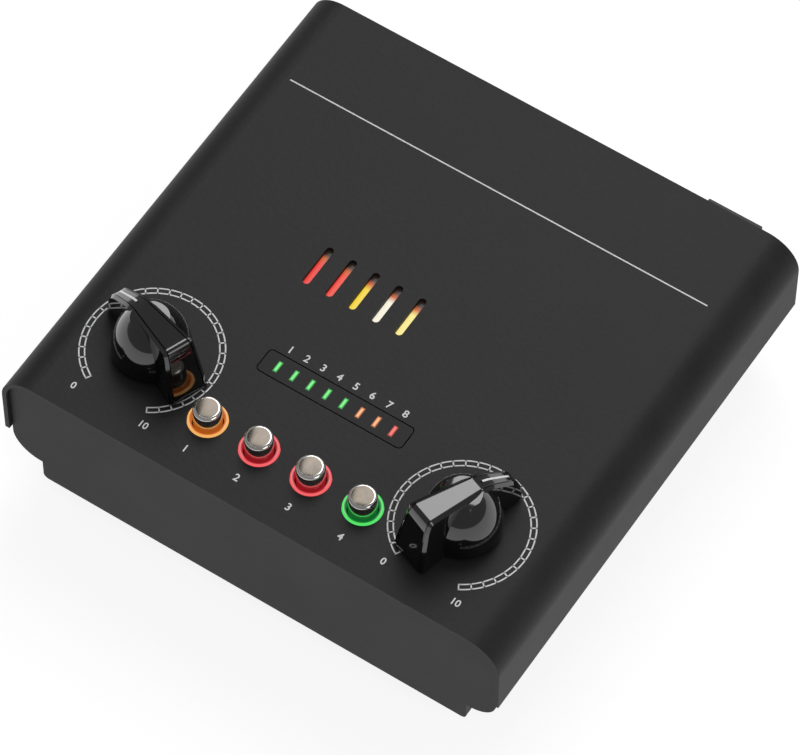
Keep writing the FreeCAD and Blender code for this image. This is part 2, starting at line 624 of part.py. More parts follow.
def make_board_parts():
    """Capacitors, amplifier chips, and the header that joins the two boards."""
    capacitors = []
    for x, behind, radius, height in CAPACITOR_PLACES:
        y = Y_FRONT + behind
        can = Part.makeCylinder(radius, height, Vector(x, y, Z_MAIN_TOP))
        rim = edges_where(can, lambda e: e.BoundBox.ZMin > Z_MAIN_TOP + height - 1e-6)
        capacitors.append(can.makeFillet(0.6, rim))
    long, wide, tall = CHIP_SIZE
    chips = []
    for x, behind in CHIP_PLACES:
        y = Y_FRONT + behind
        chip = block(x - long / 2, x + long / 2, y - wide / 2, y + wide / 2, Z_MAIN_TOP, Z_MAIN_TOP + tall)
        notch = rod(0.8, (x - long / 2, y, Z_MAIN_TOP + tall - 0.5), (x - long / 2, y, Z_MAIN_TOP + tall + 1))
        chips.append(chip.cut(notch))
    x = LINK_PLACE[0]
    y = Y_FRONT + LINK_PLACE[1]
    link = block(x - LINK_LENGTH / 2, x + LINK_LENGTH / 2, y - LINK_WIDTH / 2, y + LINK_WIDTH / 2,
                 Z_MAIN_TOP, Z_CONTROL)
    return capacitors, chips, link


def make_heat_sink():
    """Finned heat sink and the regulator clamped to its face."""
    x = REGULATOR_PLACE[0]
    y = Y_FRONT + REGULATOR_PLACE[1]
    half = HEAT_SINK_WIDTH / 2
    top = Z_MAIN_TOP + HEAT_SINK_HEIGHT
    sink = block(x - half, x + half, y, y + HEAT_SINK_FIN, Z_MAIN_TOP, top)
    pitch = (HEAT_SINK_WIDTH - HEAT_SINK_FIN) / (HEAT_SINK_FINS - 1)
    for i in range(HEAT_SINK_FINS):
        left = x - half + pitch * i
        sink = sink.fuse(block(left, left + HEAT_SINK_FIN, y, y + HEAT_SINK_DEPTH, Z_MAIN_TOP, top))
    tab = block(x - 5.0, x + 5.0, y - 1.3, y, Z_MAIN_TOP + 3.0, Z_MAIN_TOP + 17.5)
    body = block(x - 5.0, x + 5.0, y - 4.4, y - 1.3, Z_MAIN_TOP + 3.0, Z_MAIN_TOP + 12.0)
    legs = [block(x + dx - 0.4, x + dx + 0.4, y - 3.0, y - 2.5, Z_MAIN_TOP, Z_MAIN_TOP + 3.0)
            for dx in (-2.54, 0.0, 2.54)]
    return sink.removeSplitter(), tab.fuse([body] + legs).removeSplitter()


# --------------------------------------------------------------------- valve
def make_tube():
    """Glass envelope lying along X, its pins, plates and spacers, and its socket on a bracket."""
    x0 = TUBE_MIDDLE_X - TUBE_LENGTH / 2
    x1 = TUBE_MIDDLE_X + TUBE_LENGTH / 2
    crown = 5.0
    outer = [(0, 0), (TUBE_R - 1.2, 0), (TUBE_R, 1.2), (TUBE_R, TUBE_LENGTH - crown)]
    outer += [(TUBE_R * math.cos(a), TUBE_LENGTH - crown + crown * math.sin(a))
              for a in [math.radians(k * 15) for k in range(1, 6)]]
    outer.append((0, TUBE_LENGTH))
    base = Vector(x0, VENT_Y, TUBE_Z)
    glass = revolved(outer, base, X_AXIS)
    hollow = [(0, 2.4), (TUBE_R - TUBE_GLASS, 2.4), (TUBE_R - TUBE_GLASS, TUBE_LENGTH - crown)]
    hollow += [((TUBE_R - TUBE_GLASS) * math.cos(a), TUBE_LENGTH - crown + (crown - TUBE_GLASS) * math.sin(a))
               for a in [math.radians(k * 15) for k in range(1, 6)]]
    hollow.append((0, TUBE_LENGTH - TUBE_GLASS))
    glass = glass.cut(revolved(hollow, base, X_AXIS))
    pins = []
    for i in range(TUBE_PIN_COUNT):
        turn = math.radians(36 * i + 18)
        y = VENT_Y + TUBE_PIN_CIRCLE_R * math.sin(turn)
        z = TUBE_Z + TUBE_PIN_CIRCLE_R * math.cos(turn)
        pins.append(rod(TUBE_PIN_R, (x0 - TUBE_PIN_LENGTH, y, z), (x0, y, z)))
    electrodes = [rod(MICA_R, (x, VENT_Y, TUBE_Z), (x + MICA_THICK, VENT_Y, TUBE_Z))
                  for x in (x0 + 7.0, x0 + 36.0)]
    for i in (0, 1):
        left = x0 + 7.0 + MICA_THICK + i * (PLATE_LENGTH + 2.6)
        plate_block = block(left, left + PLATE_LENGTH, VENT_Y - PLATE_WIDTH / 2, VENT_Y + PLATE_WIDTH / 2,
                            TUBE_Z - PLATE_HEIGHT / 2, TUBE_Z + PLATE_HEIGHT / 2)
        upright = edges_where(plate_block, lambda e: e.BoundBox.XLength > PLATE_LENGTH - 1e-6)
        electrodes.append(plate_block.makeFillet(2.0, upright))
    rails = [rod(0.5, (x0 + 2.4, VENT_Y + dy, TUBE_Z), (x0 + 39.0, VENT_Y + dy, TUBE_Z)) for dy in (-6.5, 6.5)]
    cluster = electrodes[0].fuse(electrodes[1:] + rails)
    core = rod(1.0, (x0 + 7.0, VENT_Y, TUBE_Z), (x0 + 36.0, VENT_Y, TUBE_Z))
    cluster = cluster.fuse(core).removeSplitter()
    socket_end = x0 - SEAT_GAP
    socket = rod(SOCKET_R, (socket_end - SOCKET_LENGTH, VENT_Y, TUBE_Z), (socket_end, VENT_Y, TUBE_Z))
    for pin in pins:
        middle = pin.BoundBox.Center
        socket = socket.cut(rod(TUBE_PIN_R + RUN_GAP, (socket_end - SOCKET_LENGTH - 1, middle.y, middle.z),
                                (socket_end + 1, middle.y, middle.z)))
    face = socket_end - SOCKET_LENGTH
    half = BRACKET_WIDTH / 2
    top = TUBE_Z + SOCKET_R
    bracket = block(face - BRACKET_THICK, face, VENT_Y - half, VENT_Y + half, Z_MAIN_TOP, top)
    foot = block(face - BRACKET_THICK, face + BRACKET_FOOT, VENT_Y - half, VENT_Y + half,
                 Z_MAIN_TOP, Z_MAIN_TOP + BRACKET_THICK)
    bracket = bracket.fuse(foot).removeSplitter()
    bracket = bracket.cut(rod(SOCKET_R * 0.75, (face - 5, VENT_Y, TUBE_Z), (face + 1, VENT_Y, TUBE_Z)))
    return glass, pins, cluster, socket, bracket


def make_glow_lights():
    """Small lamps under the valve, one below each vent slot."""
    lamps = []
    for x in VENT_XS:
        lamp = rod(GLOW_R, (x, VENT_Y, Z_MAIN_TOP), (x, VENT_Y, Z_MAIN_TOP + GLOW_HEIGHT))
        dome = edges_where(lamp, lambda e: e.BoundBox.ZMin > Z_MAIN_TOP + GLOW_HEIGHT - 1e-6)
        lamps.append(lamp.makeFillet(GLOW_R * 0.8, dome))
    return lamps


# ------------------------------------------------------------ rear connectors
def xlr_screw_places():
    """Two flange screws for each round connector, on one diagonal."""
    places = []
    for x in (MIC_X, XLR_OUT_X):
        places.append((x + FLANGE_SCREW_X, XLR_Z + FLANGE_SCREW_Z))
        places.append((x - FLANGE_SCREW_X, XLR_Z - FLANGE_SCREW_Z))
    return places


def latch_floor():
    """Lowest point that the pressed latch needs."""
    return Z_TOP - LATCH_BELOW_TOP - LATCH_THICK - LATCH_TRAVEL - LATCH_GAP


def flange(x):
    """Mounting flange of a round connector, outside the rear panel."""
    a = FLANGE_WIDTH / 2
    b = FLANGE_HEIGHT / 2
    corners = [(x - a, XLR_Z - b, FLANGE_CORNER_R), (x + a, XLR_Z - b, FLANGE_CORNER_R),
               (x + a, XLR_Z + b, FLANGE_CORNER_R), (x - a, XLR_Z + b, FLANGE_CORNER_R)]
    body = section_prism(corners, Y_BACK, Y_BACK + FLANGE_THICK)
    body = body.fuse(rod(XLR_BODY_R, (x, Y_BACK - XLR_BODY_DEPTH, XLR_Z), (x, Y_BACK + FLANGE_THICK, XLR_Z)))
    for sx, sz in xlr_screw_places():
        if abs(sx - x) < FLANGE_WIDTH:
            body = body.cut(rod(SCREW_R + HOLE_GAP, (sx, Y_BACK - 1, sz), (sx, Y_BACK + FLANGE_THICK + 1, sz)))
    return body.removeSplitter()


def pin_places(x):
    """Three contact places of a round connector."""
    return [(x + PIN_CIRCLE_R * math.cos(math.radians(a)), XLR_Z + PIN_CIRCLE_R * math.sin(math.radians(a)))
            for a in (45, 135, 270)]


def make_mic_input():
    """Microphone input: flanged shell, insert with three sockets, and the press latch."""
    outer_y = Y_BACK + FLANGE_THICK
    shell = flange(MIC_X)
    shell = shell.cut(rod(MIC_BORE_R, (MIC_X, outer_y - MIC_BORE_DEPTH, XLR_Z), (MIC_X, outer_y + 1, XLR_Z)))
    half = LATCH_WIDTH / 2 + LATCH_GAP
    shell = shell.cut(block(MIC_X - half, MIC_X + half, Y_BACK - LATCH_GAP, outer_y + 1, latch_floor(), Z_TOP))
    arm_half = LATCH_ARM_WIDTH / 2 + LATCH_GAP
    shell = shell.cut(block(MIC_X - arm_half, MIC_X + arm_half, Y_BACK - LATCH_ARM_LENGTH - LATCH_GAP,
                            outer_y + 1, XLR_Z + MIC_BORE_R - 1.0, Z_TOP))
    floor_y = outer_y - MIC_BORE_DEPTH
    insert = rod(MIC_INSERT_R, (MIC_X, floor_y, XLR_Z), (MIC_X, outer_y - 0.8, XLR_Z))
    rim = edges_where(insert, lambda e: e.BoundBox.YMin > outer_y - 0.8 - 1e-6)
    insert = insert.makeFillet(0.5, rim)
    contacts = []
    for x, z in pin_places(MIC_X):
        insert = insert.cut(rod(MIC_SOCKET_R, (x, floor_y + 2.0, z), (x, outer_y, z)))
        sleeve = rod(MIC_SOCKET_R, (x, floor_y + 2.0, z), (x, outer_y - 2.4, z))
        contacts.append(sleeve.cut(rod(PIN_R, (x, floor_y + 3.0, z), (x, outer_y, z))))
    high = Z_TOP - LATCH_BELOW_TOP
    low = high - LATCH_THICK
    tab = block(MIC_X - LATCH_WIDTH / 2, MIC_X + LATCH_WIDTH / 2, Y_BACK, Y_REAR + LATCH_REACH, low, high)
    outer_edges = edges_where(tab, lambda e: e.BoundBox.YMin > Y_REAR + LATCH_REACH - 1e-6)
    tab = tab.makeFillet(0.6, outer_edges)
    arm_top = low + LATCH_ARM_THICK
    arm = block(MIC_X - LATCH_ARM_WIDTH / 2, MIC_X + LATCH_ARM_WIDTH / 2, Y_BACK - LATCH_ARM_LENGTH,
                Y_BACK + 0.5, low, arm_top)
    hook = block(MIC_X - LATCH_ARM_WIDTH / 2, MIC_X + LATCH_ARM_WIDTH / 2, Y_BACK - LATCH_ARM_LENGTH,
                 Y_BACK - LATCH_ARM_LENGTH + 2.0, low - LATCH_HOOK, arm_top)
    latch = tab.fuse([arm, hook]).removeSplitter()
    return shell, insert, contacts, latch


def make_xlr_output():
    """Balanced output: flanged shell with an open cavity, insert floor and three pins."""
    outer_y = Y_BACK + FLANGE_THICK
    floor_y = outer_y - OUT_BORE_DEPTH
    shell = flange(XLR_OUT_X)
    shell = shell.cut(rod(OUT_BORE_R, (XLR_OUT_X, Y_BACK - XLR_BODY_DEPTH - 1, XLR_Z),
                          (XLR_OUT_X, outer_y + 1, XLR_Z)))
    insert = rod(OUT_BORE_R - RUN_GAP, (XLR_OUT_X, Y_BACK - XLR_BODY_DEPTH, XLR_Z), (XLR_OUT_X, floor_y, XLR_Z))
    pins = []
    for x, z in pin_places(XLR_OUT_X):
        start = floor_y - PIN_ROOT
        insert = insert.cut(rod(PIN_R, (x, start, z), (x, floor_y + 1, z)))
        pin = rod(PIN_R, (x, start, z), (x, floor_y + PIN_LENGTH, z))
        tip = edges_where(pin, lambda e: e.BoundBox.YMin > floor_y + PIN_LENGTH - 1e-6)
        pins.append(pin.makeFillet(PIN_R * 0.8, tip))
    return shell, insert, pins


def make_jack(x):
    """Quarter-inch jack: moulded body with a threaded bushing, and its nut."""
    a = JACK_BODY_WIDTH / 2
    b = JACK_BODY_HEIGHT / 2
    back = Y_INNER_BACK - JACK_BODY_DEPTH
    body = block(x - a, x + a, back, Y_INNER_BACK, JACK_Z - b, JACK_Z + b)
    body = body.makeFillet(1.0, edges_where(body, lambda e: e.BoundBox.YLength > JACK_BODY_DEPTH - 1e-6))
    bushing = rod(JACK_BUSHING_R, (x, Y_INNER_BACK, JACK_Z), (x, Y_END, JACK_Z))
    mouth = edges_where(bushing, lambda e: e.BoundBox.YMin > Y_END - 1e-6)
    body = body.fuse(bushing.makeFillet(0.4, mouth))
    body = body.cut(rod(JACK_BORE_R, (x, back + 1.5, JACK_Z), (x, Y_END + 1, JACK_Z)))
    nut = hexagon(JACK_NUT_AF, JACK_NUT_HEIGHT, Vector(x, Y_BACK, JACK_Z), Y_AXIS)
    nut = nut.cut(rod(JACK_BUSHING_R + RUN_GAP, (x, Y_BACK - 1, JACK_Z), (x, Y_END + 1, JACK_Z)))
    return body.removeSplitter(), nut


def make_power_inlet():
    """Barrel power inlet and its centre pin."""
    a = POWER_WIDTH / 2
    b = POWER_HEIGHT / 2
    outer_y = Y_BACK + POWER_FACE
    body = block(POWER_X - a, POWER_X + a, outer_y - POWER_LENGTH, outer_y, POWER_Z - b, POWER_Z + b)
    body = body.cut(rod(POWER_BORE_R, (POWER_X, outer_y - POWER_DEPTH, POWER_Z), (POWER_X, outer_y + 1, POWER_Z)))
    foot = outer_y - POWER_DEPTH
    pin = rod(POWER_PIN_R, (POWER_X, foot, POWER_Z), (POWER_X, outer_y - 0.8, POWER_Z))
    tip = edges_where(pin, lambda e: e.BoundBox.YMin > outer_y - 0.8 - 1e-6)
    return body, pin.makeFillet(POWER_PIN_R * 0.6, tip)


def connector_supports():
    """Moulded feet that carry the jacks and the power inlet on the main board."""
    supports = []
    for x in (LINE_IN_X, LINE_OUT_X):
        low = JACK_Z - JACK_BODY_HEIGHT / 2
        y1 = Y_INNER_BACK - MAIN_BOARD_BACK
        supports.append(block(x - 6.0, x + 6.0, y1 - 18.0, y1 - 2.0, Z_MAIN_TOP, low))
    return supports


# ------------------------------------------------------------------- assembly
KNOBS = (("gain", -1, GAIN_POINTER_DEG), ("output", 1, OUTPUT_POINTER_DEG))
BUTTON_NAMES = ("pad", "phantom", "phase", "limiter")

save("top_cover", make_top_cover())
save("lower_housing", make_lower_housing())
save("front_panel", end_panel(Y_FACE, Y_INNER_FRONT))
save("rear_panel", make_rear_panel())

feet, foot_screws, posts = make_feet()
save("rubber_feet", *feet)
save("foot_screws", *foot_screws)
save("cover_posts", *posts)

nuts = []
for name, sx, pointer in KNOBS:
    pot_body, pot_shaft, pot_nut = make_pot(sx, pointer)
    save(name + "_knob", make_knob(sx, pointer))
    save(name + "_pot", pot_body)
    save(name + "_shaft", pot_shaft)
    nuts.append(pot_nut)
save("pot_nuts", *nuts)

for name, x in zip(BUTTON_NAMES, BUTTON_XS):
    save(name + "_button", make_button(x))
    save(name + "_light_ring", make_light_ring(x))
    save(name + "_switch", make_switch(x))

lights = make_meter_lights()
save("meter_window", make_meter_window())
save("meter_green_lights", *lights[:METER_GREEN])
save("meter_amber_lights", *lights[METER_GREEN:METER_GREEN + METER_AMBER])
save("meter_red_light", *lights[METER_GREEN + METER_AMBER:])

main_board, standoffs, board_screws = make_main_board()
save("main_board", main_board)
save("board_standoffs", *standoffs)
save("board_screws", *board_screws)
save("control_board", make_control_board())
capacitors, chips, link = make_board_parts()
save("filter_capacitors", *capacitors)
save("amplifier_chips", *chips)
save("board_link", link)
heat_sink, regulator = make_heat_sink()
save("heat_sink", heat_sink)
save("voltage_regulator", regulator)

glass, tube_pins, cluster, socket, bracket = make_tube()
save("tube_glass", glass)
save("tube_pins", *tube_pins)
save("tube_electrodes", cluster)
save("tube_socket", socket)
save("tube_bracket", bracket)
save("glow_lights", *make_glow_lights())

mic_shell, mic_insert, mic_contacts, mic_latch = make_mic_input()
save("mic_input_shell", mic_shell)
save("mic_input_insert", mic_insert)
save("mic_input_contacts", *mic_contacts)
save("mic_input_latch", mic_latch)
out_shell, out_insert, out_pins = make_xlr_output()
save("balanced_output_shell", out_shell)
save("balanced_output_insert", out_insert)
save("balanced_output_pins", *out_pins)
line_in, line_in_nut = make_jack(LINE_IN_X)
line_out, line_out_nut = make_jack(LINE_OUT_X)
save("line_input_jack", line_in)
save("line_output_jack", line_out)
save("jack_nuts", line_in_nut, line_out_nut)
save("jack_supports", *connector_supports())
power_inlet, power_pin = make_power_inlet()
save("power_inlet", power_inlet)
save("power_inlet_pin", power_pin)
save("connector_screws", *[pan_screw(Vector(x, Y_BACK + FLANGE_THICK, z), Y_AXIS * -1,
                                     FLANGE_THICK + PANEL_THICK + 3.0, SCREW_R, FLANGE_HEAD_R)
                           for x, z in xlr_screw_places()])
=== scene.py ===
"""Desktop valve microphone preamplifier: finishes, panel print, detailed knobs, lamps and studio."""

import json
import logging
import math
from dataclasses import dataclass, field
from enum import Enum

import bpy
from mathutils import Matrix, Vector

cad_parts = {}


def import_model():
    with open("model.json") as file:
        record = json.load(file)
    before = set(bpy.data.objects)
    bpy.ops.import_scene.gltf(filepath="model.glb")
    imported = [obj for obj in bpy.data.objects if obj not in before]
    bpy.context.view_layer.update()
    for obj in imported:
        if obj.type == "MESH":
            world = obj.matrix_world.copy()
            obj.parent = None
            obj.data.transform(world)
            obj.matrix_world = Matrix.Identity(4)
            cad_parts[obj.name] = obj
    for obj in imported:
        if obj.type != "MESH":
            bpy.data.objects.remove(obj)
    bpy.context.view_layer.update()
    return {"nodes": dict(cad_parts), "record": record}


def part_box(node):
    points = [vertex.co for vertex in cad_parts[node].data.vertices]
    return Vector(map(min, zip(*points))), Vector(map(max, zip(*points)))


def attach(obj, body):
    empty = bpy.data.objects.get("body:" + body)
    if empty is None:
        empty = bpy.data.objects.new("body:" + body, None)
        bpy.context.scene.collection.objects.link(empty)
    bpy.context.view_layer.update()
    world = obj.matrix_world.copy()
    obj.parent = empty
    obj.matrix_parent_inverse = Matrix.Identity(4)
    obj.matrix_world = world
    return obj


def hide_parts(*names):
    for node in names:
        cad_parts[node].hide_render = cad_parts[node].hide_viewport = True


MM = 0.001
LOG = logging.getLogger("preamp")
CHASSIS = "chassis"
GAIN_POINTER_DEG = 158.0
OUTPUT_POINTER_DEG = 69.5
QUARTER_TURN_DEG = 90
ROUNDING_LIMIT = 0.48    # most of a side that one rounded corner may take

# The sRGB curve: a straight foot up to the knee, then a power.
SRGB_KNEE = 0.04045
SRGB_FOOT_SLOPE = 12.92
SRGB_OFFSET = 0.055
SRGB_POWER = 2.4


# ------------------------------------------------------------------ helpers
def linear(code: str) -> tuple[float, float, float, float]:
    """Turns an sRGB hex colour into a linear RGBA colour.

    Args:
        code: six hex digits.

    Returns:
        Linear red, green, blue and an alpha of 1.
    """
    channels = []
    for start in (0, 2, 4):
        value = int(code[start:start + 2], 16) / 255
        if value <= SRGB_KNEE:
            channels.append(value / SRGB_FOOT_SLOPE)
        else:
            channels.append(((value + SRGB_OFFSET) / (1 + SRGB_OFFSET)) ** SRGB_POWER)
    return (channels[0], channels[1], channels[2], 1.0)


def add_node(tree: bpy.types.NodeTree, kind: str, settings: dict | None = None,
             links: dict | None = None) -> bpy.types.Node:
    """Adds one node, sets its properties and inputs, and links its inputs.

    Args:
        tree: node tree that gets the node.
        kind: node type.
        settings: property names, input names or input numbers, with their values.
        links: input names or numbers, with the sockets they take.

    Returns:
        The new node.
    """
    node = tree.nodes.new(kind)
    for key, value in (settings or {}).items():
        if isinstance(key, int) or (key in node.inputs and not hasattr(type(node), key)):
            node.inputs[key].default_value = value
        else:
            setattr(node, key, value)
    for key, socket in (links or {}).items():
        tree.links.new(socket, node.inputs[key])
    return node


def new_material(name: str) -> bpy.types.Material:
    """Returns an empty node material of that name."""
    material = bpy.data.materials.new(name)
    material.use_nodes = True
    material.node_tree.nodes.clear()
    return material


def set_ramp(node: bpy.types.Node, stops: tuple[tuple[float, str], ...]) -> None:
    """Gives a colour ramp its stops.

    Args:
        node: the colour ramp.
        stops: place from 0 to 1, and sRGB hex colour.
    """
    elements = node.color_ramp.elements
    while len(elements) > 1:
        elements.remove(elements[-1])
    elements[0].position = stops[0][0]
    elements[0].color = linear(stops[0][1])
    for place, code in stops[1:]:
        elements.new(place).color = linear(code)


def mesh_piece(name: str, verts: list[Vector], faces: list[tuple[int, ...]],
               material: bpy.types.Material, body: str,
               sharp_deg: float = 28.0) -> bpy.types.Object:
    """Makes a mesh piece in the shared frame and lets it ride on a body.

    Args:
        name: name of the piece.
        verts: corners in metres.
        faces: corner numbers of each face.
        material: its finish.
        body: CAD body it moves with.
        sharp_deg: edges that fold more than this stay crisp.

    Returns:
        The new object.
    """
    mesh = bpy.data.meshes.new(name)
    mesh.from_pydata([tuple(v) for v in verts], [], faces)
    mesh.validate()
    mesh.polygons.foreach_set("use_smooth", [True] * len(mesh.polygons))
    mesh.set_sharp_from_angle(angle=math.radians(sharp_deg))
    piece = bpy.data.objects.new(name, mesh)
    bpy.context.scene.collection.objects.link(piece)
    mesh.materials.append(material)
    bpy.context.view_layer.update()
    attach(piece, body)
    return piece


def middle(node: str) -> Vector:
    """Returns the middle of a CAD node's box."""
    low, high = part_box(node)
    return (low + high) / 2


# ----------------------------------------------------------------- finishes
@dataclass(frozen=True)
class Surface:
    """A solid finish: two tones, a roughness span and a fine relief."""

    name: str
    tone_low: str
    tone_high: str
    roughness: tuple[float, float]
    grain_mm: float
    relief_mm: float
    patch_mm: float = 18.0
    metallic: float = 0.0
    ior: float = 1.5
    coat: float = 0.0
    transmission: float = 0.0
    specular: float = 0.5
    grain_share: float = 0.35
    tone_span: tuple[float, float] = (0.45, 0.9)
    relief_strength: float = 0.6

    def build(self) -> bpy.types.Material:
        """Builds the node material.

        Returns:
            Material with a mottled colour, uneven gloss and bumped grain.
        """
        material = new_material(self.name)
        tree = material.node_tree
        place = add_node(tree, "ShaderNodeTexCoord").outputs["Object"]
        patch = add_node(tree, "ShaderNodeTexNoise", {"Scale": 1 / (self.patch_mm * MM), "Detail": 3.0},
                         {"Vector": place})
        grain = add_node(tree, "ShaderNodeTexNoise", {"Scale": 1 / (self.grain_mm * MM), "Detail": 2.0},
                         {"Vector": place})
        blend = add_node(tree, "ShaderNodeMath", {"operation": "MULTIPLY_ADD", 1: self.grain_share},
                         {0: grain.outputs["Fac"], 2: patch.outputs["Fac"]})
        tone = add_node(tree, "ShaderNodeValToRGB", {}, {"Fac": blend.outputs[0]})
        set_ramp(tone, ((self.tone_span[0], self.tone_low), (self.tone_span[1], self.tone_high)))
        gloss = add_node(tree, "ShaderNodeMapRange",
                         {"To Min": self.roughness[0], "To Max": self.roughness[1]},
                         {"Value": patch.outputs["Fac"]})
        bump = add_node(tree, "ShaderNodeBump",
                        {"Strength": self.relief_strength, "Distance": self.relief_mm * MM},
                        {"Height": grain.outputs["Fac"]})
        shader = add_node(tree, "ShaderNodeBsdfPrincipled",
                          {"Metallic": self.metallic, "IOR": self.ior, "Coat Weight": self.coat,
                           "Transmission Weight": self.transmission,
                           "Specular IOR Level": self.specular},
                          {"Base Color": tone.outputs["Color"], "Roughness": gloss.outputs[0],
                           "Normal": bump.outputs["Normal"]})
        add_node(tree, "ShaderNodeOutputMaterial", {}, {"Surface": shader.outputs[0]})
        return material


@dataclass(frozen=True)
class LitGuide:
    """A clear moulded light guide lit from behind: deep colour at its inner step, bright at its rim."""

    name: str
    centre: tuple[float, float]
    inner: str
    rim: str
    radius_inner: float = 3.75 * MM
    radius_outer: float = 4.75 * MM
    inner_end: float = 0.45
    rim_start: float = 0.62
    base: str = "202020"
    roughness: float = 0.25
    ior: float = 1.49
    strength: float = 0.9

    def build(self) -> bpy.types.Material:
        """Builds the node material.

        Returns:
            Glowing material whose colour goes from the inner step to the rim.
        """
        material = new_material(self.name)
        tree = material.node_tree
        place = add_node(tree, "ShaderNodeTexCoord").outputs["Object"]
        offset = add_node(tree, "ShaderNodeVectorMath",
                          {"operation": "SUBTRACT", 1: (self.centre[0], self.centre[1], 0.0)}, {0: place})
        flat = add_node(tree, "ShaderNodeVectorMath", {"operation": "MULTIPLY", 1: (1.0, 1.0, 0.0)},
                        {0: offset.outputs[0]})
        reach = add_node(tree, "ShaderNodeVectorMath", {"operation": "LENGTH"}, {0: flat.outputs[0]})
        share = add_node(tree, "ShaderNodeMapRange",
                         {"From Min": self.radius_inner, "From Max": self.radius_outer},
                         {"Value": reach.outputs["Value"]})
        ramp = add_node(tree, "ShaderNodeValToRGB", {}, {"Fac": share.outputs[0]})
        set_ramp(ramp, ((0.0, self.inner), (self.inner_end, self.inner),
                        (self.rim_start, self.rim), (1.0, self.rim)))
        shader = add_node(tree, "ShaderNodeBsdfPrincipled",
                          {"Roughness": self.roughness, "IOR": self.ior,
                           "Base Color": linear(self.base), "Emission Strength": self.strength},
                          {"Emission Color": ramp.outputs["Color"]})
        add_node(tree, "ShaderNodeOutputMaterial", {}, {"Surface": shader.outputs[0]})
        return material


@dataclass(frozen=True)
class Glow:
    """A glowing face whose colour changes from front to rear between two places."""

    name: str
    stops: tuple[tuple[float, str], ...]
    front: float = 0.0
    rear: float = 1.0
    strength: float = 0.95
    base: str = "101010"
    roughness: float = 0.4

    def build(self) -> bpy.types.Material:
        """Builds the node material.

        Returns:
            Glowing material with its colour ramped along the depth.
        """
        material = new_material(self.name)
        tree = material.node_tree
        place = add_node(tree, "ShaderNodeTexCoord").outputs["Object"]
        split = add_node(tree, "ShaderNodeSeparateXYZ", {}, {0: place})
        share = add_node(tree, "ShaderNodeMapRange", {"From Min": self.front, "From Max": self.rear},
                         {"Value": split.outputs["Y"]})
        ramp = add_node(tree, "ShaderNodeValToRGB", {}, {"Fac": share.outputs[0]})
        set_ramp(ramp, self.stops)
        shader = add_node(tree, "ShaderNodeBsdfPrincipled",
                          {"Roughness": self.roughness, "Base Color": linear(self.base),
                           "Emission Strength": self.strength},
                          {"Emission Color": ramp.outputs["Color"]})
        add_node(tree, "ShaderNodeOutputMaterial", {}, {"Surface": shader.outputs[0]})
        return material


class LampColour(Enum):
    """Colours of the lit pieces: inner step and rim."""

    AMBER = ("c8641a", "ffb765")
    RED = ("a81824", "ff6468")
    GREEN = ("0f7a30", "55ee6c")


SURFACES: dict[str, Surface] = {
    # Epoxy powder coat, sprayed and baked: a fine dry tooth and a soft sheen on bent edges.
    # The real tooth is near 0.3 mm, too fine to show, so it is drawn about 1.2 mm across.
    "cover_paint": Surface("powder_coat_charcoal", "1d1d1e", "262627", (0.5, 0.6), 1.25, 0.09, specular=0.3),
    # Painted shade: the housing has the cover's paint, with its tones set a little darker for its less lit
    # front face.
    "housing_paint": Surface("powder_coat_housing_painted_shade", "1b1b1c", "222223", (0.5, 0.6), 1.0, 0.05, specular=0.3),
    # Phenolic, compression moulded and tumbled: near black with a wet polish.
    "knob_plastic": Surface("phenolic_polished", "070708", "0c0c0d", (0.05, 0.11), 0.9, 0.004, coat=0.7,
                            specular=0.6),
    # Bright chromium plate on turned brass: mirror with a trace of handling haze.
    "button_chrome": Surface("chromium_plate", "cfccc8", "e2dfda", (0.1, 0.18), 0.8, 0.003, metallic=1.0),
    # Tinted ABS insert, moulded with a fine spark texture: flat and dark.
    "window_plastic": Surface("abs_textured", "19191a", "1f1f20", (0.5, 0.6), 0.4, 0.02, specular=0.3),
    # Woven glass laminate under solder mask: deep green with a weave just visible.
    "board_laminate": Surface("glass_laminate_masked", "0d4426", "17603a", (0.3, 0.42), 0.6, 0.01),
    # Nylon mouldings: dull black with a faint tooth.
    "black_moulding": Surface("nylon_moulded", "141415", "1e1e20", (0.4, 0.55), 0.5, 0.012),
    # Filled epoxy, transfer moulded: grey-black and chalky.
    "chip_epoxy": Surface("epoxy_moulded", "1b1b1d", "252527", (0.5, 0.62), 0.4, 0.01),
    # Zinc plate over steel: pale, slightly clouded metal.
    "zinc_steel": Surface("zinc_plate", "a9aaa8", "c4c4c0", (0.25, 0.4), 0.7, 0.006, metallic=1.0),
    # Black oxide steel: dark and oily.
    "black_steel": Surface("oxide_steel", "161617", "242426", (0.3, 0.42), 0.6, 0.006, metallic=0.6),
    # Nickel plate over a zinc casting: warm silver, softly uneven.
    "nickel_shell": Surface("nickel_plate", "9d9a92", "b9b5ab", (0.2, 0.34), 0.9, 0.01, metallic=1.0),
    # Gold flash over bronze: warm and clean.
    "contact_gold": Surface("gold_flash", "b8923f", "d8b463", (0.15, 0.25), 0.6, 0.004, metallic=1.0),
    # Extruded aluminium left bare: pale with a drawn haze.
    "aluminium": Surface("aluminium_extruded", "b2b4b6", "cbccce", (0.28, 0.4), 0.5, 0.008, metallic=1.0),
    # Blown soda glass: clear with a faint smoke.
    "valve_glass": Surface("glass_blown", "e2e8e6", "eef2f0", (0.02, 0.05), 3.0, 0.002, ior=1.5,
                           transmission=1.0),
    # Carbonised nickel: soft grey, nearly matt.
    "electrode_metal": Surface("nickel_carbonised", "3b3a38", "55534f", (0.45, 0.6), 0.5, 0.01, metallic=0.7),
    # Natural rubber, moulded: black bloom with no gloss.
    "foot_rubber": Surface("rubber_moulded", "141414", "202020", (0.7, 0.82), 0.7, 0.03),
}

# Epoxy ink, screen printed: flat pale grey, slightly broken at its edges.
PANEL_INK = Surface("epoxy_ink_printed", "eaeaea", "f4f4f4", (0.55, 0.65), 0.3, 0.004)

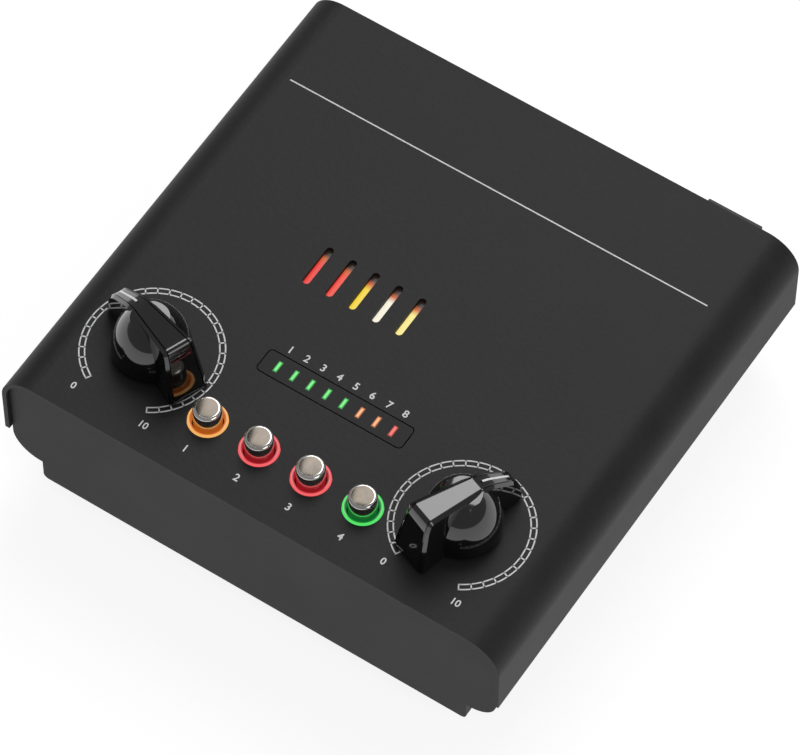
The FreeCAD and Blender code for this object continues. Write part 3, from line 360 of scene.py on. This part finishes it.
# Paint filled into the moulded groove of the pointer: the whitest thing on the unit.
INDEX_FILL = Surface("enamel_filled_white", "fafaf8", "ffffff", (0.3, 0.4), 0.5, 0.003)

# The cap's crown carries painted shade: its plate tone is set dark to stand in for the dim reflection on its
# flat top, a darker mirror inside a bright rim.
CAP_CROWN_PAINTED_SHADE = Surface("chromium_crown_painted_shade", "4c4843", "625b53", (0.1, 0.18), 2.4, 0.01, patch_mm=5.0,
                    metallic=1.0)


# ---------------------------------------------------------------- assemblies
@dataclass
class CadFinishes:
    """Dresses the CAD nodes that keep their own shape."""

    record: dict
    nodes: dict[str, bpy.types.Object]
    lamps: dict[str, LampColour] = field(default_factory=lambda: {
        "pad": LampColour.AMBER, "phantom": LampColour.RED,
        "phase": LampColour.RED, "limiter": LampColour.GREEN})
    bars: dict[str, str] = field(default_factory=lambda: {
        "light_green": "128a30", "light_amber": "a8561c", "light_red": "a0241e", "glow_lamp": "ffb070"})
    built: dict[str, bpy.types.Material] = field(default_factory=dict)

    def material(self, slot: str) -> bpy.types.Material:
        """Returns the material of a slot, built once."""
        if slot not in self.built:
            if slot in self.bars:
                self.built[slot] = Glow("acrylic_lit_" + slot, ((0.0, self.bars[slot]),)).build()
            else:
                self.built[slot] = SURFACES[slot].build()
        return self.built[slot]

    def ring_material(self, name: str) -> bpy.types.Material:
        """Returns the lit material of one button's ring."""
        centre = middle(name + "_light_ring")
        inner, rim = self.lamps[name].value
        return LitGuide("acrylic_guide_" + name, (centre.x, centre.y), inner, rim).build()

    def dress(self) -> None:
        """Gives every CAD node its finish."""
        for part in self.record["subparts"]:
            name, slot = part["node"], part["material_slot"]
            if slot.startswith("ring_"):
                finish = self.ring_material(name.removesuffix("_light_ring"))
            else:
                finish = self.material(slot)
            target = self.nodes[name]
            if not target.material_slots:
                target.data.materials.append(finish)
            for place in target.material_slots:
                place.material = finish
            LOG.info("finish %s on %s", finish.name, name)


@dataclass
class PointerKnob:
    """Pointer knob: bell skirt, tapered bar with lined chamfers and a white index on its ridge."""

    prefix: str
    pointer_deg: float
    body: str
    plastic: bpy.types.Material
    filler: bpy.types.Material
    skirt_r: float = 9.5 * MM
    disc_r: float = 4.6 * MM
    disc_height: float = 13.5 * MM
    band: float = 1.6 * MM
    shoulder: tuple[float, float] = (8.2 * MM, 8.0 * MM)
    tail: float = 15.5 * MM
    tail_lean: float = 3.3 * MM
    nose: float = 15.4 * MM
    tail_half: float = 5.2 * MM
    nose_half: float = 2.3 * MM
    wedge_end: float = 17.0 * MM
    tail_draft: float = 1.1 * MM
    nose_draft: float = 0.66 * MM
    crest_inset: float = 0.4 * MM
    crest_round: float = 1.6 * MM
    ridge_end: float = 5.6 * MM
    ridge_round: float = 3.0 * MM
    ridge_drop: float = 2.6 * MM
    nose_drop: float = 8.6 * MM
    chamfer: float = 0.75 * MM
    groove: float = 0.36 * MM
    groove_depth: float = 0.25 * MM
    index_start: float = 5.3 * MM
    index_end: float = 13.3 * MM
    index_half: float = 0.28 * MM
    index_lift: float = 0.04 * MM
    skirt_edge: float = 0.25 * MM
    disc_edge: float = 0.3 * MM
    disc_rise: float = 0.08 * MM
    lean_share: float = 0.8
    tail_corner_drop: float = 2.4 * MM
    tail_corner_round: float = 2.6 * MM
    nose_inset: float = 1.8 * MM
    nose_round: float = 3.0 * MM
    toe_height: float = 3.4 * MM
    toe_round: float = 1.6 * MM
    toe_inset: float = 0.3 * MM
    chamfer_share: float = 0.8
    foot_share: float = 0.985
    index_floor: float = 0.4
    corner_points: int = 7
    bell_steps: int = 16

    def __post_init__(self) -> None:
        """Takes the knob's place and height from the CAD boxes."""
        low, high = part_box(self.prefix + "_knob")
        axis = middle(self.prefix + "_shaft")
        self.height = high.z - low.z
        turn = Matrix.Rotation(math.radians(self.pointer_deg), 4, "Z")
        self.place = Matrix.Translation((axis.x, axis.y, low.z)) @ turn

    def half_width(self, along: float, up: float) -> float:
        """Returns half the bar's width at a place along it and a height."""
        share = (along + self.tail) / (self.wedge_end + self.tail)
        foot = self.tail_half + (self.nose_half - self.tail_half) * share
        draft = self.tail_draft + (self.nose_draft - self.tail_draft) * share
        return foot - draft * up / self.height

    def crest_along(self) -> float:
        """Returns the place along the bar of its highest point."""
        return -self.tail + self.tail_lean + self.crest_inset

    def profile(self) -> list[tuple[float, float]]:
        """Returns the bar's side outline from the tail's foot over the crest to the nose's foot."""
        top = self.height
        corners = [(-self.tail, 0.0, 0.0),
                   (-self.tail + self.tail_lean * self.lean_share, top - self.tail_corner_drop,
                    self.tail_corner_round),
                   (self.crest_along(), top, self.crest_round),
                   (self.ridge_end, top - self.ridge_drop, self.ridge_round),
                   (self.nose - self.nose_inset, top - self.nose_drop, self.nose_round),
                   (self.nose, self.toe_height, self.toe_round),
                   (self.nose - self.toe_inset, 0.0, 0.0)]
        return rounded_path(corners, self.corner_points)

    def bar(self) -> tuple[list[Vector], list[tuple[int, ...]]]:
        """Builds the bar: lined chamfered top strip and drafted sides.

        Returns:
            Corners and faces in the knob's own frame.
        """
        line = self.profile()
        verts: list[Vector] = []
        faces: list[tuple[int, ...]] = []
        for number, (along, up) in enumerate(line):
            before, after = line[max(number - 1, 0)], line[min(number + 1, len(line) - 1)]
            tangent = Vector((after[0] - before[0], after[1] - before[1])).normalized()
            inward = Vector((tangent.y, -tangent.x))
            wide = self.half_width(along, up)
            edge = wide - self.chamfer
            across = [(wide, None), (wide, self.chamfer * self.chamfer_share), (edge, 0.0),
                      (edge - self.groove / 2, self.groove_depth), (edge - self.groove, 0.0)]
            row = []
            for half, depth in across:
                if depth is None:
                    row.append((self.half_width(along, 0.0), along * self.foot_share, 0.0))
                else:
                    row.append((half, along + inward.x * depth, max(up + inward.y * depth, 0.0)))
            for half, place, rise in row:
                verts.append(Vector((place, -half, rise)))
            for half, place, rise in reversed(row):
                verts.append(Vector((place, half, rise)))
        width = len(verts) // len(line)
        for number in range(len(line) - 1):
            for step in range(width - 1):
                first = number * width + step
                faces.append((first, first + width, first + width + 1, first + 1))
        return verts, faces

    def skirt(self, steps: int = 96) -> tuple[list[Vector], list[tuple[int, ...]]]:
        """Builds the bell skirt by turning its outline.

        Args:
            steps: faces round the skirt.

        Returns:
            Corners and faces in the knob's own frame.
        """
        outline = [(self.skirt_r - self.skirt_edge, 0.0), (self.skirt_r, self.skirt_edge),
                   (self.skirt_r, self.band)]
        start, end = Vector((self.skirt_r, self.band)), Vector((self.disc_r, self.disc_height))
        through = Vector(self.shoulder)
        control = through * 2 - (start + end) / 2
        for number in range(1, self.bell_steps + 1):
            share = number / self.bell_steps
            point = start * (1 - share) ** 2 + control * 2 * share * (1 - share) + end * share ** 2
            outline.append((point.x, point.y))
        crown = self.disc_height + self.disc_rise
        outline += [(self.disc_r - self.disc_edge, crown), (0.0, crown)]
        turns = [math.tau * n / steps for n in range(steps)]
        verts = [Vector((radius * math.cos(turn), radius * math.sin(turn), up))
                 for radius, up in outline for turn in turns]
        faces = []
        for ring in range(len(outline) - 1):
            for n in range(steps):
                m = (n + 1) % steps
                low, high = ring * steps, (ring + 1) * steps
                faces.append((low + n, low + m, high + m, high + n))
        return verts, faces

    def index(self) -> tuple[list[Vector], list[tuple[int, ...]]]:
        """Builds the white line laid along the ridge.

        Returns:
            Corners and faces in the knob's own frame.
        """
        crest = self.crest_along()
        share = (self.index_start - crest) / (self.ridge_end - crest)
        points = [(self.index_start, self.height - self.ridge_drop * share)]
        points += [p for p in self.profile()
                   if max(self.ridge_end - self.ridge_round, self.index_start) < p[0] < self.index_end
                   and p[1] > self.height * self.index_floor]
        verts = [Vector((x, side * self.index_half, z + self.index_lift))
                 for x, z in points for side in (-1, 1)]
        faces = [(2 * n, 2 * n + 2, 2 * n + 3, 2 * n + 1) for n in range(len(points) - 1)]
        return verts, faces

    def build(self) -> None:
        """Builds the knob and its index, in place of the CAD knob."""
        bar_verts, bar_faces = self.bar()
        skirt_verts, skirt_faces = self.skirt()
        count = len(bar_verts)
        faces = bar_faces + [tuple(n + count for n in face) for face in skirt_faces]
        verts = [self.place @ v for v in bar_verts + skirt_verts]
        knob = mesh_piece(self.prefix + "_knob_moulding", verts, faces, self.plastic,
                          self.body)
        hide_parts(self.prefix + "_knob")
        verts, faces = self.index()
        mesh_piece(self.prefix + "_knob_index", [self.place @ v for v in verts], faces, self.filler,
                   self.body)
        LOG.info("knob %s, %.1f mm high", self.prefix, self.height / MM)


def rounded_path(corners: list[tuple[float, float, float]], steps: int) -> list[tuple[float, float]]:
    """Rounds the corners of an open outline.

    Args:
        corners: place along, height and how much of each side the rounding takes.
        steps: points on each rounded corner.

    Returns:
        The outline's points in order.
    """
    path = [corners[0][:2]]
    for before, corner, after in zip(corners, corners[1:], corners[2:]):
        here = Vector(corner[:2])
        to_before, to_after = Vector(before[:2]) - here, Vector(after[:2]) - here
        reach = min(corner[2], to_before.length * ROUNDING_LIMIT, to_after.length * ROUNDING_LIMIT)
        start, end = here + to_before.normalized() * reach, here + to_after.normalized() * reach
        for number in range(steps):
            share = number / (steps - 1)
            point = start * (1 - share) ** 2 + here * 2 * share * (1 - share) + end * share ** 2
            path.append((point.x, point.y))
    path.append(corners[-1][:2])
    return path


@dataclass
class PushButton:
    """Turned cap with a bright rolled rim and a crown darkened with painted shade, in place of the CAD cap.
    """

    name: str
    rim: bpy.types.Material
    crown: bpy.types.Material
    rim_width: float = 0.8 * MM
    rim_drop: float = 0.95 * MM
    crown_drop: float = 0.12 * MM
    stem_r: float = 1.6 * MM
    clearance: float = 1.9 * MM
    crown_rings: tuple[float, ...] = (0.8, 0.5, 0.2, 0.0)
    rim_steps: int = 8
    steps: int = 64

    def build(self) -> None:
        """Turns the cap and lets it ride on its own body."""
        low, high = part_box(self.name + "_button")
        centre = middle(self.name + "_button")
        radius = (high.x - low.x) / 2
        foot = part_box(self.name + "_switch")[1].z + self.clearance
        outline = [(0.0, low.z), (self.stem_r, low.z), (self.stem_r, foot), (radius, foot),
                   (radius, high.z - self.rim_drop)]
        for number in range(1, self.rim_steps + 1):
            turn = math.radians(QUARTER_TURN_DEG * number / self.rim_steps)
            outline.append((radius - self.rim_width * (1 - math.cos(turn)),
                            high.z - self.rim_drop + (self.rim_drop - self.crown_drop) * math.sin(turn)))
        rim_rings = len(outline) - 1
        flat = radius - self.rim_width
        outline += [(flat * share, high.z - self.crown_drop * share ** 2) for share in self.crown_rings]
        verts = [Vector((centre.x + reach * math.cos(math.tau * n / self.steps),
                         centre.y + reach * math.sin(math.tau * n / self.steps), up))
                 for reach, up in outline for n in range(self.steps)]
        faces = [(ring * self.steps + n, ring * self.steps + (n + 1) % self.steps,
                  (ring + 1) * self.steps + (n + 1) % self.steps, (ring + 1) * self.steps + n)
                 for ring in range(len(outline) - 1) for n in range(self.steps)]
        cap = mesh_piece(self.name + "_cap_turned", verts, faces, self.rim,
                         self.name + "_cap")
        cap.data.materials.append(self.crown)
        for face in cap.data.polygons:
            if face.vertices[0] >= rim_rings * self.steps:
                face.material_index = 1
        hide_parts(self.name + "_button")
        LOG.info("button %s", self.name)


@dataclass
class PanelPrint:
    """Ink on the cover: two ladder scales, plain numbers and the rear line."""

    ink: bpy.types.Material
    top: float
    outer_r: float = 17.0 * MM
    inner_r: float = 15.35 * MM
    line: float = 0.34 * MM
    start_deg: float = 240.0
    sweep_deg: float = 300.0
    tick_deg: float = 10.0
    ink_lift: float = 0.02 * MM
    end_legend: tuple[float, float] = (9.65 * MM, -17.75 * MM)
    legend_height: float = 1.75 * MM
    row_height: float = 1.9 * MM
    button_row_drop: float = 9.2 * MM
    meter_row_rise: float = 5.3 * MM
    meter_pitch: float = 4.5 * MM
    figure_share: float = 0.7
    stroke_spread: float = 0.05 * MM
    arc_steps: int = 150
    rear_line_y: float = 37.9 * MM
    rear_line_half: float = 57.85 * MM
    meter_numbers: tuple[str, ...] = ("1", "2", "3", "4", "5", "6", "7", "8")

    def arc(self, centre: Vector, low: float, high: float) -> tuple[list[Vector], list[tuple[int, ...]]]:
        """Builds one printed arc of the scale.

        Args:
            centre: the knob's axis.
            low: inner radius.
            high: outer radius.

        Returns:
            Corners and faces.
        """
        verts, faces = [], []
        for number in range(self.arc_steps + 1):
            turn = math.radians(self.start_deg - self.sweep_deg * number / self.arc_steps)
            for radius in (low, high):
                verts.append(Vector((centre.x + radius * math.cos(turn), centre.y + radius * math.sin(turn),
                                     self.top + self.ink_lift)))
        for number in range(self.arc_steps):
            faces.append((2 * number, 2 * number + 2, 2 * number + 3, 2 * number + 1))
        return verts, faces

    def scale(self, name: str, centre: Vector) -> None:
        """Prints a ladder scale round a knob.

        Args:
            name: start of the piece's name.
            centre: the knob's axis.
        """
        verts, faces = self.arc(centre, self.outer_r - self.line, self.outer_r)
        more, extra = self.arc(centre, self.inner_r, self.inner_r + self.line)
        faces += [tuple(n + len(verts) for n in face) for face in extra]
        verts += more
        for number in range(round(self.sweep_deg / self.tick_deg) + 1):
            turn = math.radians(self.start_deg - self.tick_deg * number)
            out = Vector((math.cos(turn), math.sin(turn), 0))
            side = Vector((-out.y, out.x, 0)) * self.line / 2
            base = Vector((centre.x, centre.y, self.top + self.ink_lift))
            first = len(verts)
            verts += [base + out * self.inner_r - side, base + out * self.outer_r - side,
                      base + out * self.outer_r + side, base + out * self.inner_r + side]
            faces.append((first, first + 1, first + 2, first + 3))
        mesh_piece(name + "_scale_print", verts, faces, self.ink, CHASSIS)

    def number(self, name: str, text: str, x: float, y: float, height: float) -> None:
        """Prints a plain number.

        Args:
            name: name of the piece.
            text: the number.
            x: its middle across.
            y: its middle in depth.
            height: height of its figures.
        """
        figures = bpy.data.curves.new(name, "FONT")
        figures.body = text
        figures.size = height / self.figure_share
        figures.offset = self.stroke_spread
        figures.align_x = "CENTER"
        figures.align_y = "CENTER"
        piece = bpy.data.objects.new(name, figures)
        bpy.context.scene.collection.objects.link(piece)
        piece.location = (x, y, self.top + self.ink_lift)
        figures.materials.append(self.ink)
        bpy.context.view_layer.update()
        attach(piece, CHASSIS)

    def build(self) -> None:
        """Prints everything on the cover."""
        for name in ("gain", "output"):
            centre = middle(name + "_shaft")
            self.scale(name, centre)
            for text, side in (("0", -1), ("10", 1)):
                self.number(f"{name}_legend_{text}", text, centre.x + side * self.end_legend[0],
                            centre.y + self.end_legend[1], self.legend_height)
        for number, name in enumerate(("pad", "phantom", "phase", "limiter"), 1):
            place = middle(name + "_button")
            self.number(f"{name}_legend", str(number), place.x, place.y - self.button_row_drop,
                        self.row_height)
        window = middle("meter_window")
        for number, text in enumerate(self.meter_numbers):
            offset = self.meter_pitch * (number - (len(self.meter_numbers) - 1) / 2)
            self.number(f"meter_legend_{number + 1}", text, window.x + offset,
                        window.y + self.meter_row_rise, self.row_height)
        half, y, z = self.rear_line_half, self.rear_line_y, self.top + self.ink_lift
        verts = [Vector((-half, y - self.line / 2, z)), Vector((half, y - self.line / 2, z)),
                 Vector((half, y + self.line / 2, z)), Vector((-half, y + self.line / 2, z))]
        mesh_piece("rear_line_print", verts, [(0, 1, 2, 3)], self.ink, CHASSIS)
        LOG.info("panel print laid at %.1f mm", self.top / MM)


@dataclass
class LevelMeter:
    """Bright cores in the middle of the meter's lit bars."""

    pitch: float = 4.5 * MM
    count: int = 8
    greens: int = 5
    ambers: int = 2
    half_width: float = 0.3 * MM
    half_length: float = 1.3 * MM
    lift: float = 0.02 * MM
    steps: int = 24

    def build(self) -> None:
        """Builds one rounded core on each bar."""
        cores = {"light_green": "6cf27c", "light_amber": "ffb27a", "light_red": "ff6a5c"}
        finishes = {slot: Glow("acrylic_core_" + slot, ((0.0, code),), strength=1.0).build()
                    for slot, code in cores.items()}
        window = middle("meter_window")
        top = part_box("meter_green_lights")[1].z + self.lift
        for number in range(self.count):
            slot = "light_green" if number < self.greens else "light_amber"
            if number >= self.greens + self.ambers:
                slot = "light_red"
            x = window.x + self.pitch * (number - (self.count - 1) / 2)
            verts = []
            for step in range(self.steps):
                turn = math.tau * step / self.steps
                end = math.copysign(self.half_length - self.half_width, math.sin(turn))
                verts.append(Vector((x + self.half_width * math.cos(turn),
                                     window.y + end + self.half_width * math.sin(turn), top)))
            mesh_piece(f"meter_core_{number + 1}", verts, [tuple(range(self.steps))], finishes[slot],
                       CHASSIS)
        LOG.info("meter cores %d", self.count)


@dataclass
class VentGlow:
    """Painted glow for the light from the lamps under the valve, seen in the cover's slots, with painted
    shade at each slot's rear end.
    """

    top: float
    middle_x: float = -10.5 * MM
    pitch: float = 6.4 * MM
    middle_y: float = -2.1 * MM
    half_length: float = 6.3 * MM
    half_width: float = 1.3 * MM
    below_top: float = 1.3 * MM
    tints: tuple[str, ...] = ("e8382f", "ee4636", "f4d433", "f6f1dc", "fbe98c")
    lit_share: float = 0.6
    # Painted shade: the glow fades to near black over the rear part of each slot.
    painted_shade_fade: tuple[tuple[float, str], ...] = ((0.74, "c85a1e"), (0.84, "2a1a12"), (1.0, "161210"))

    def build(self) -> None:
        """Builds a glowing sheet of painted glow under each slot, fading to painted shade towards its rear.
        """
        z = self.top - self.below_top
        for number, tint in enumerate(self.tints):
            x = self.middle_x + self.pitch * (number - (len(self.tints) - 1) / 2)
            front, rear = self.middle_y - self.half_length, self.middle_y + self.half_length
            stops = ((0.0, tint), (self.lit_share, tint), *self.painted_shade_fade)
            # Painted glow: an emitting sheet stands in for lamp light seen through the slot.
            finish = Glow(f"vent_painted_glow_{number + 1}", stops, front, rear).build()
            verts = [Vector((x + sx * self.half_width, y, z)) for y in (front, rear) for sx in (-1, 1)]
            mesh_piece(f"vent_glow_{number + 1}", verts, [(0, 1, 3, 2)], finish, CHASSIS)
        LOG.info("vent diffusers %d", len(self.tints))


@dataclass
class Studio:
    """Pale floor, soft lamps and the camera."""

    top: float
    lens_mm: float = 258.3
    sensor_mm: float = 36.0
    forward: tuple[float, float, float] = (-0.2883, 0.4427, -0.8491)
    right: tuple[float, float, float] = (0.8366, 0.5478, 0.0016)
    place_mm: tuple[float, float, float] = (387.72, -598.4, 1114.69)
    floor_half: float = 6.0
    floor_share: float = 0.72
    floor_glow: float = 1.2
    surround: float = 0.27
    rear_lamp: tuple[tuple[float, float, float], float, float] = ((-0.3, 0.98, 1.5), 1.0, 13.0)
    side_lamp: tuple[tuple[float, float, float], float, float] = ((1.3, -0.3, 1.0), 0.8, 4.0)

    def floor(self) -> None:
        """Lays a pale floor that keeps the shadow."""
        mesh = bpy.data.meshes.new("studio_floor")
        half = self.floor_half
        mesh.from_pydata([(-half, -half, 0), (half, -half, 0), (half, half, 0), (-half, half, 0)], [],
                         [(0, 1, 2, 3)])
        plane = bpy.data.objects.new("studio_floor", mesh)
        bpy.context.scene.collection.objects.link(plane)
        material = new_material("paper_sweep_pale")
        tree = material.node_tree
        path = add_node(tree, "ShaderNodeLightPath")
        shown = add_node(tree, "ShaderNodeMath", {"operation": "MAXIMUM"},
                         {0: path.outputs["Is Camera Ray"], 1: path.outputs["Is Glossy Ray"]})
        seen = add_node(tree, "ShaderNodeMath", {"operation": "MAXIMUM"},
                        {0: shown.outputs[0], 1: path.outputs["Is Transmission Ray"]})
        share = add_node(tree, "ShaderNodeMath", {"operation": "MULTIPLY", 1: self.floor_share},
                         {0: seen.outputs[0]})
        paper = add_node(tree, "ShaderNodeBsdfDiffuse", {"Color": linear("f4f4f4")})
        white = add_node(tree, "ShaderNodeEmission",
                         {"Color": linear("ffffff"), "Strength": self.floor_glow})
        mix = add_node(tree, "ShaderNodeMixShader", {},
                       {0: share.outputs[0], 1: paper.outputs[0], 2: white.outputs[0]})
        add_node(tree, "ShaderNodeOutputMaterial", {}, {"Surface": mix.outputs[0]})
        mesh.materials.append(material)

    def lamp(self, name: str, place: tuple[float, float, float], size: float, watts: float) -> None:
        """Hangs a square soft lamp aimed at the unit.

        Args:
            name: name of the lamp.
            place: where it hangs, in metres.
            size: side of its square face.
            watts: its power.
        """
        light = bpy.data.lights.new(name, "AREA")
        light.size = size
        light.energy = watts
        lamp = bpy.data.objects.new(name, light)
        bpy.context.scene.collection.objects.link(lamp)
        lamp.location = place
        aim = Vector((0, 0, self.top)) - Vector(place)
        lamp.rotation_euler = aim.to_track_quat("-Z", "Y").to_euler()

    def world(self) -> None:
        """Gives an even pale surround."""
        world = bpy.data.worlds.new("studio_surround")
        world.use_nodes = True
        tree = world.node_tree
        tree.nodes.clear()
        path = add_node(tree, "ShaderNodeLightPath")
        level = add_node(tree, "ShaderNodeMapRange", {"To Min": self.surround, "To Max": 1.0},
                         {"Value": path.outputs["Is Camera Ray"]})
        sky = add_node(tree, "ShaderNodeBackground", {"Color": linear("ffffff")},
                       {"Strength": level.outputs[0]})
        add_node(tree, "ShaderNodeOutputWorld", {}, {"Surface": sky.outputs[0]})
        bpy.context.scene.world = world

    def camera(self) -> None:
        """Sets the camera high at the front right corner."""
        data = bpy.data.cameras.new("studio_camera")
        data.lens = self.lens_mm
        data.sensor_width = self.sensor_mm
        data.sensor_fit = "HORIZONTAL"
        camera = bpy.data.objects.new("studio_camera", data)
        bpy.context.scene.collection.objects.link(camera)
        forward = Vector(self.forward).normalized()
        right = Vector(self.right)
        right = (right - forward * right.dot(forward)).normalized()
        upward = right.cross(forward)
        turn = Matrix((right, upward, -forward)).transposed().to_4x4()
        across, deep, above = self.place_mm
        place = Vector((across * MM, deep * MM, self.top + above * MM))
        camera.matrix_world = Matrix.Translation(place) @ turn
        bpy.context.scene.camera = camera

    def build(self) -> None:
        """Builds the studio."""
        self.floor()
        self.lamp("soft_rear_left", *self.rear_lamp)
        self.lamp("soft_right", *self.side_lamp)
        self.world()
        self.camera()
        bpy.context.scene.view_settings.view_transform = "Standard"
        LOG.info("studio ready")


def main() -> None:
    """Builds the classes in order."""
    logging.basicConfig(level=logging.INFO)
    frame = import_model()
    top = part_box("top_cover")[1].z
    finishes = CadFinishes(frame["record"], frame["nodes"])
    finishes.dress()
    ink = PANEL_INK.build()
    plastic = finishes.material("knob_plastic")
    filler = INDEX_FILL.build()
    PointerKnob("gain", GAIN_POINTER_DEG, "gain_knob_group", plastic, filler).build()
    PointerKnob("output", OUTPUT_POINTER_DEG, "output_knob_group", plastic, filler).build()
    # Painted shade: the crown's plate colour is darkened to stand in for a dim reflection.
    crown = CAP_CROWN_PAINTED_SHADE.build()
    for name in ("pad", "phantom", "phase", "limiter"):
        PushButton(name, finishes.material("button_chrome"), crown).build()
    PanelPrint(ink, top).build()
    LevelMeter().build()
    VentGlow(top).build()
    Studio(top).build()


if __name__ == "__main__":
    main()
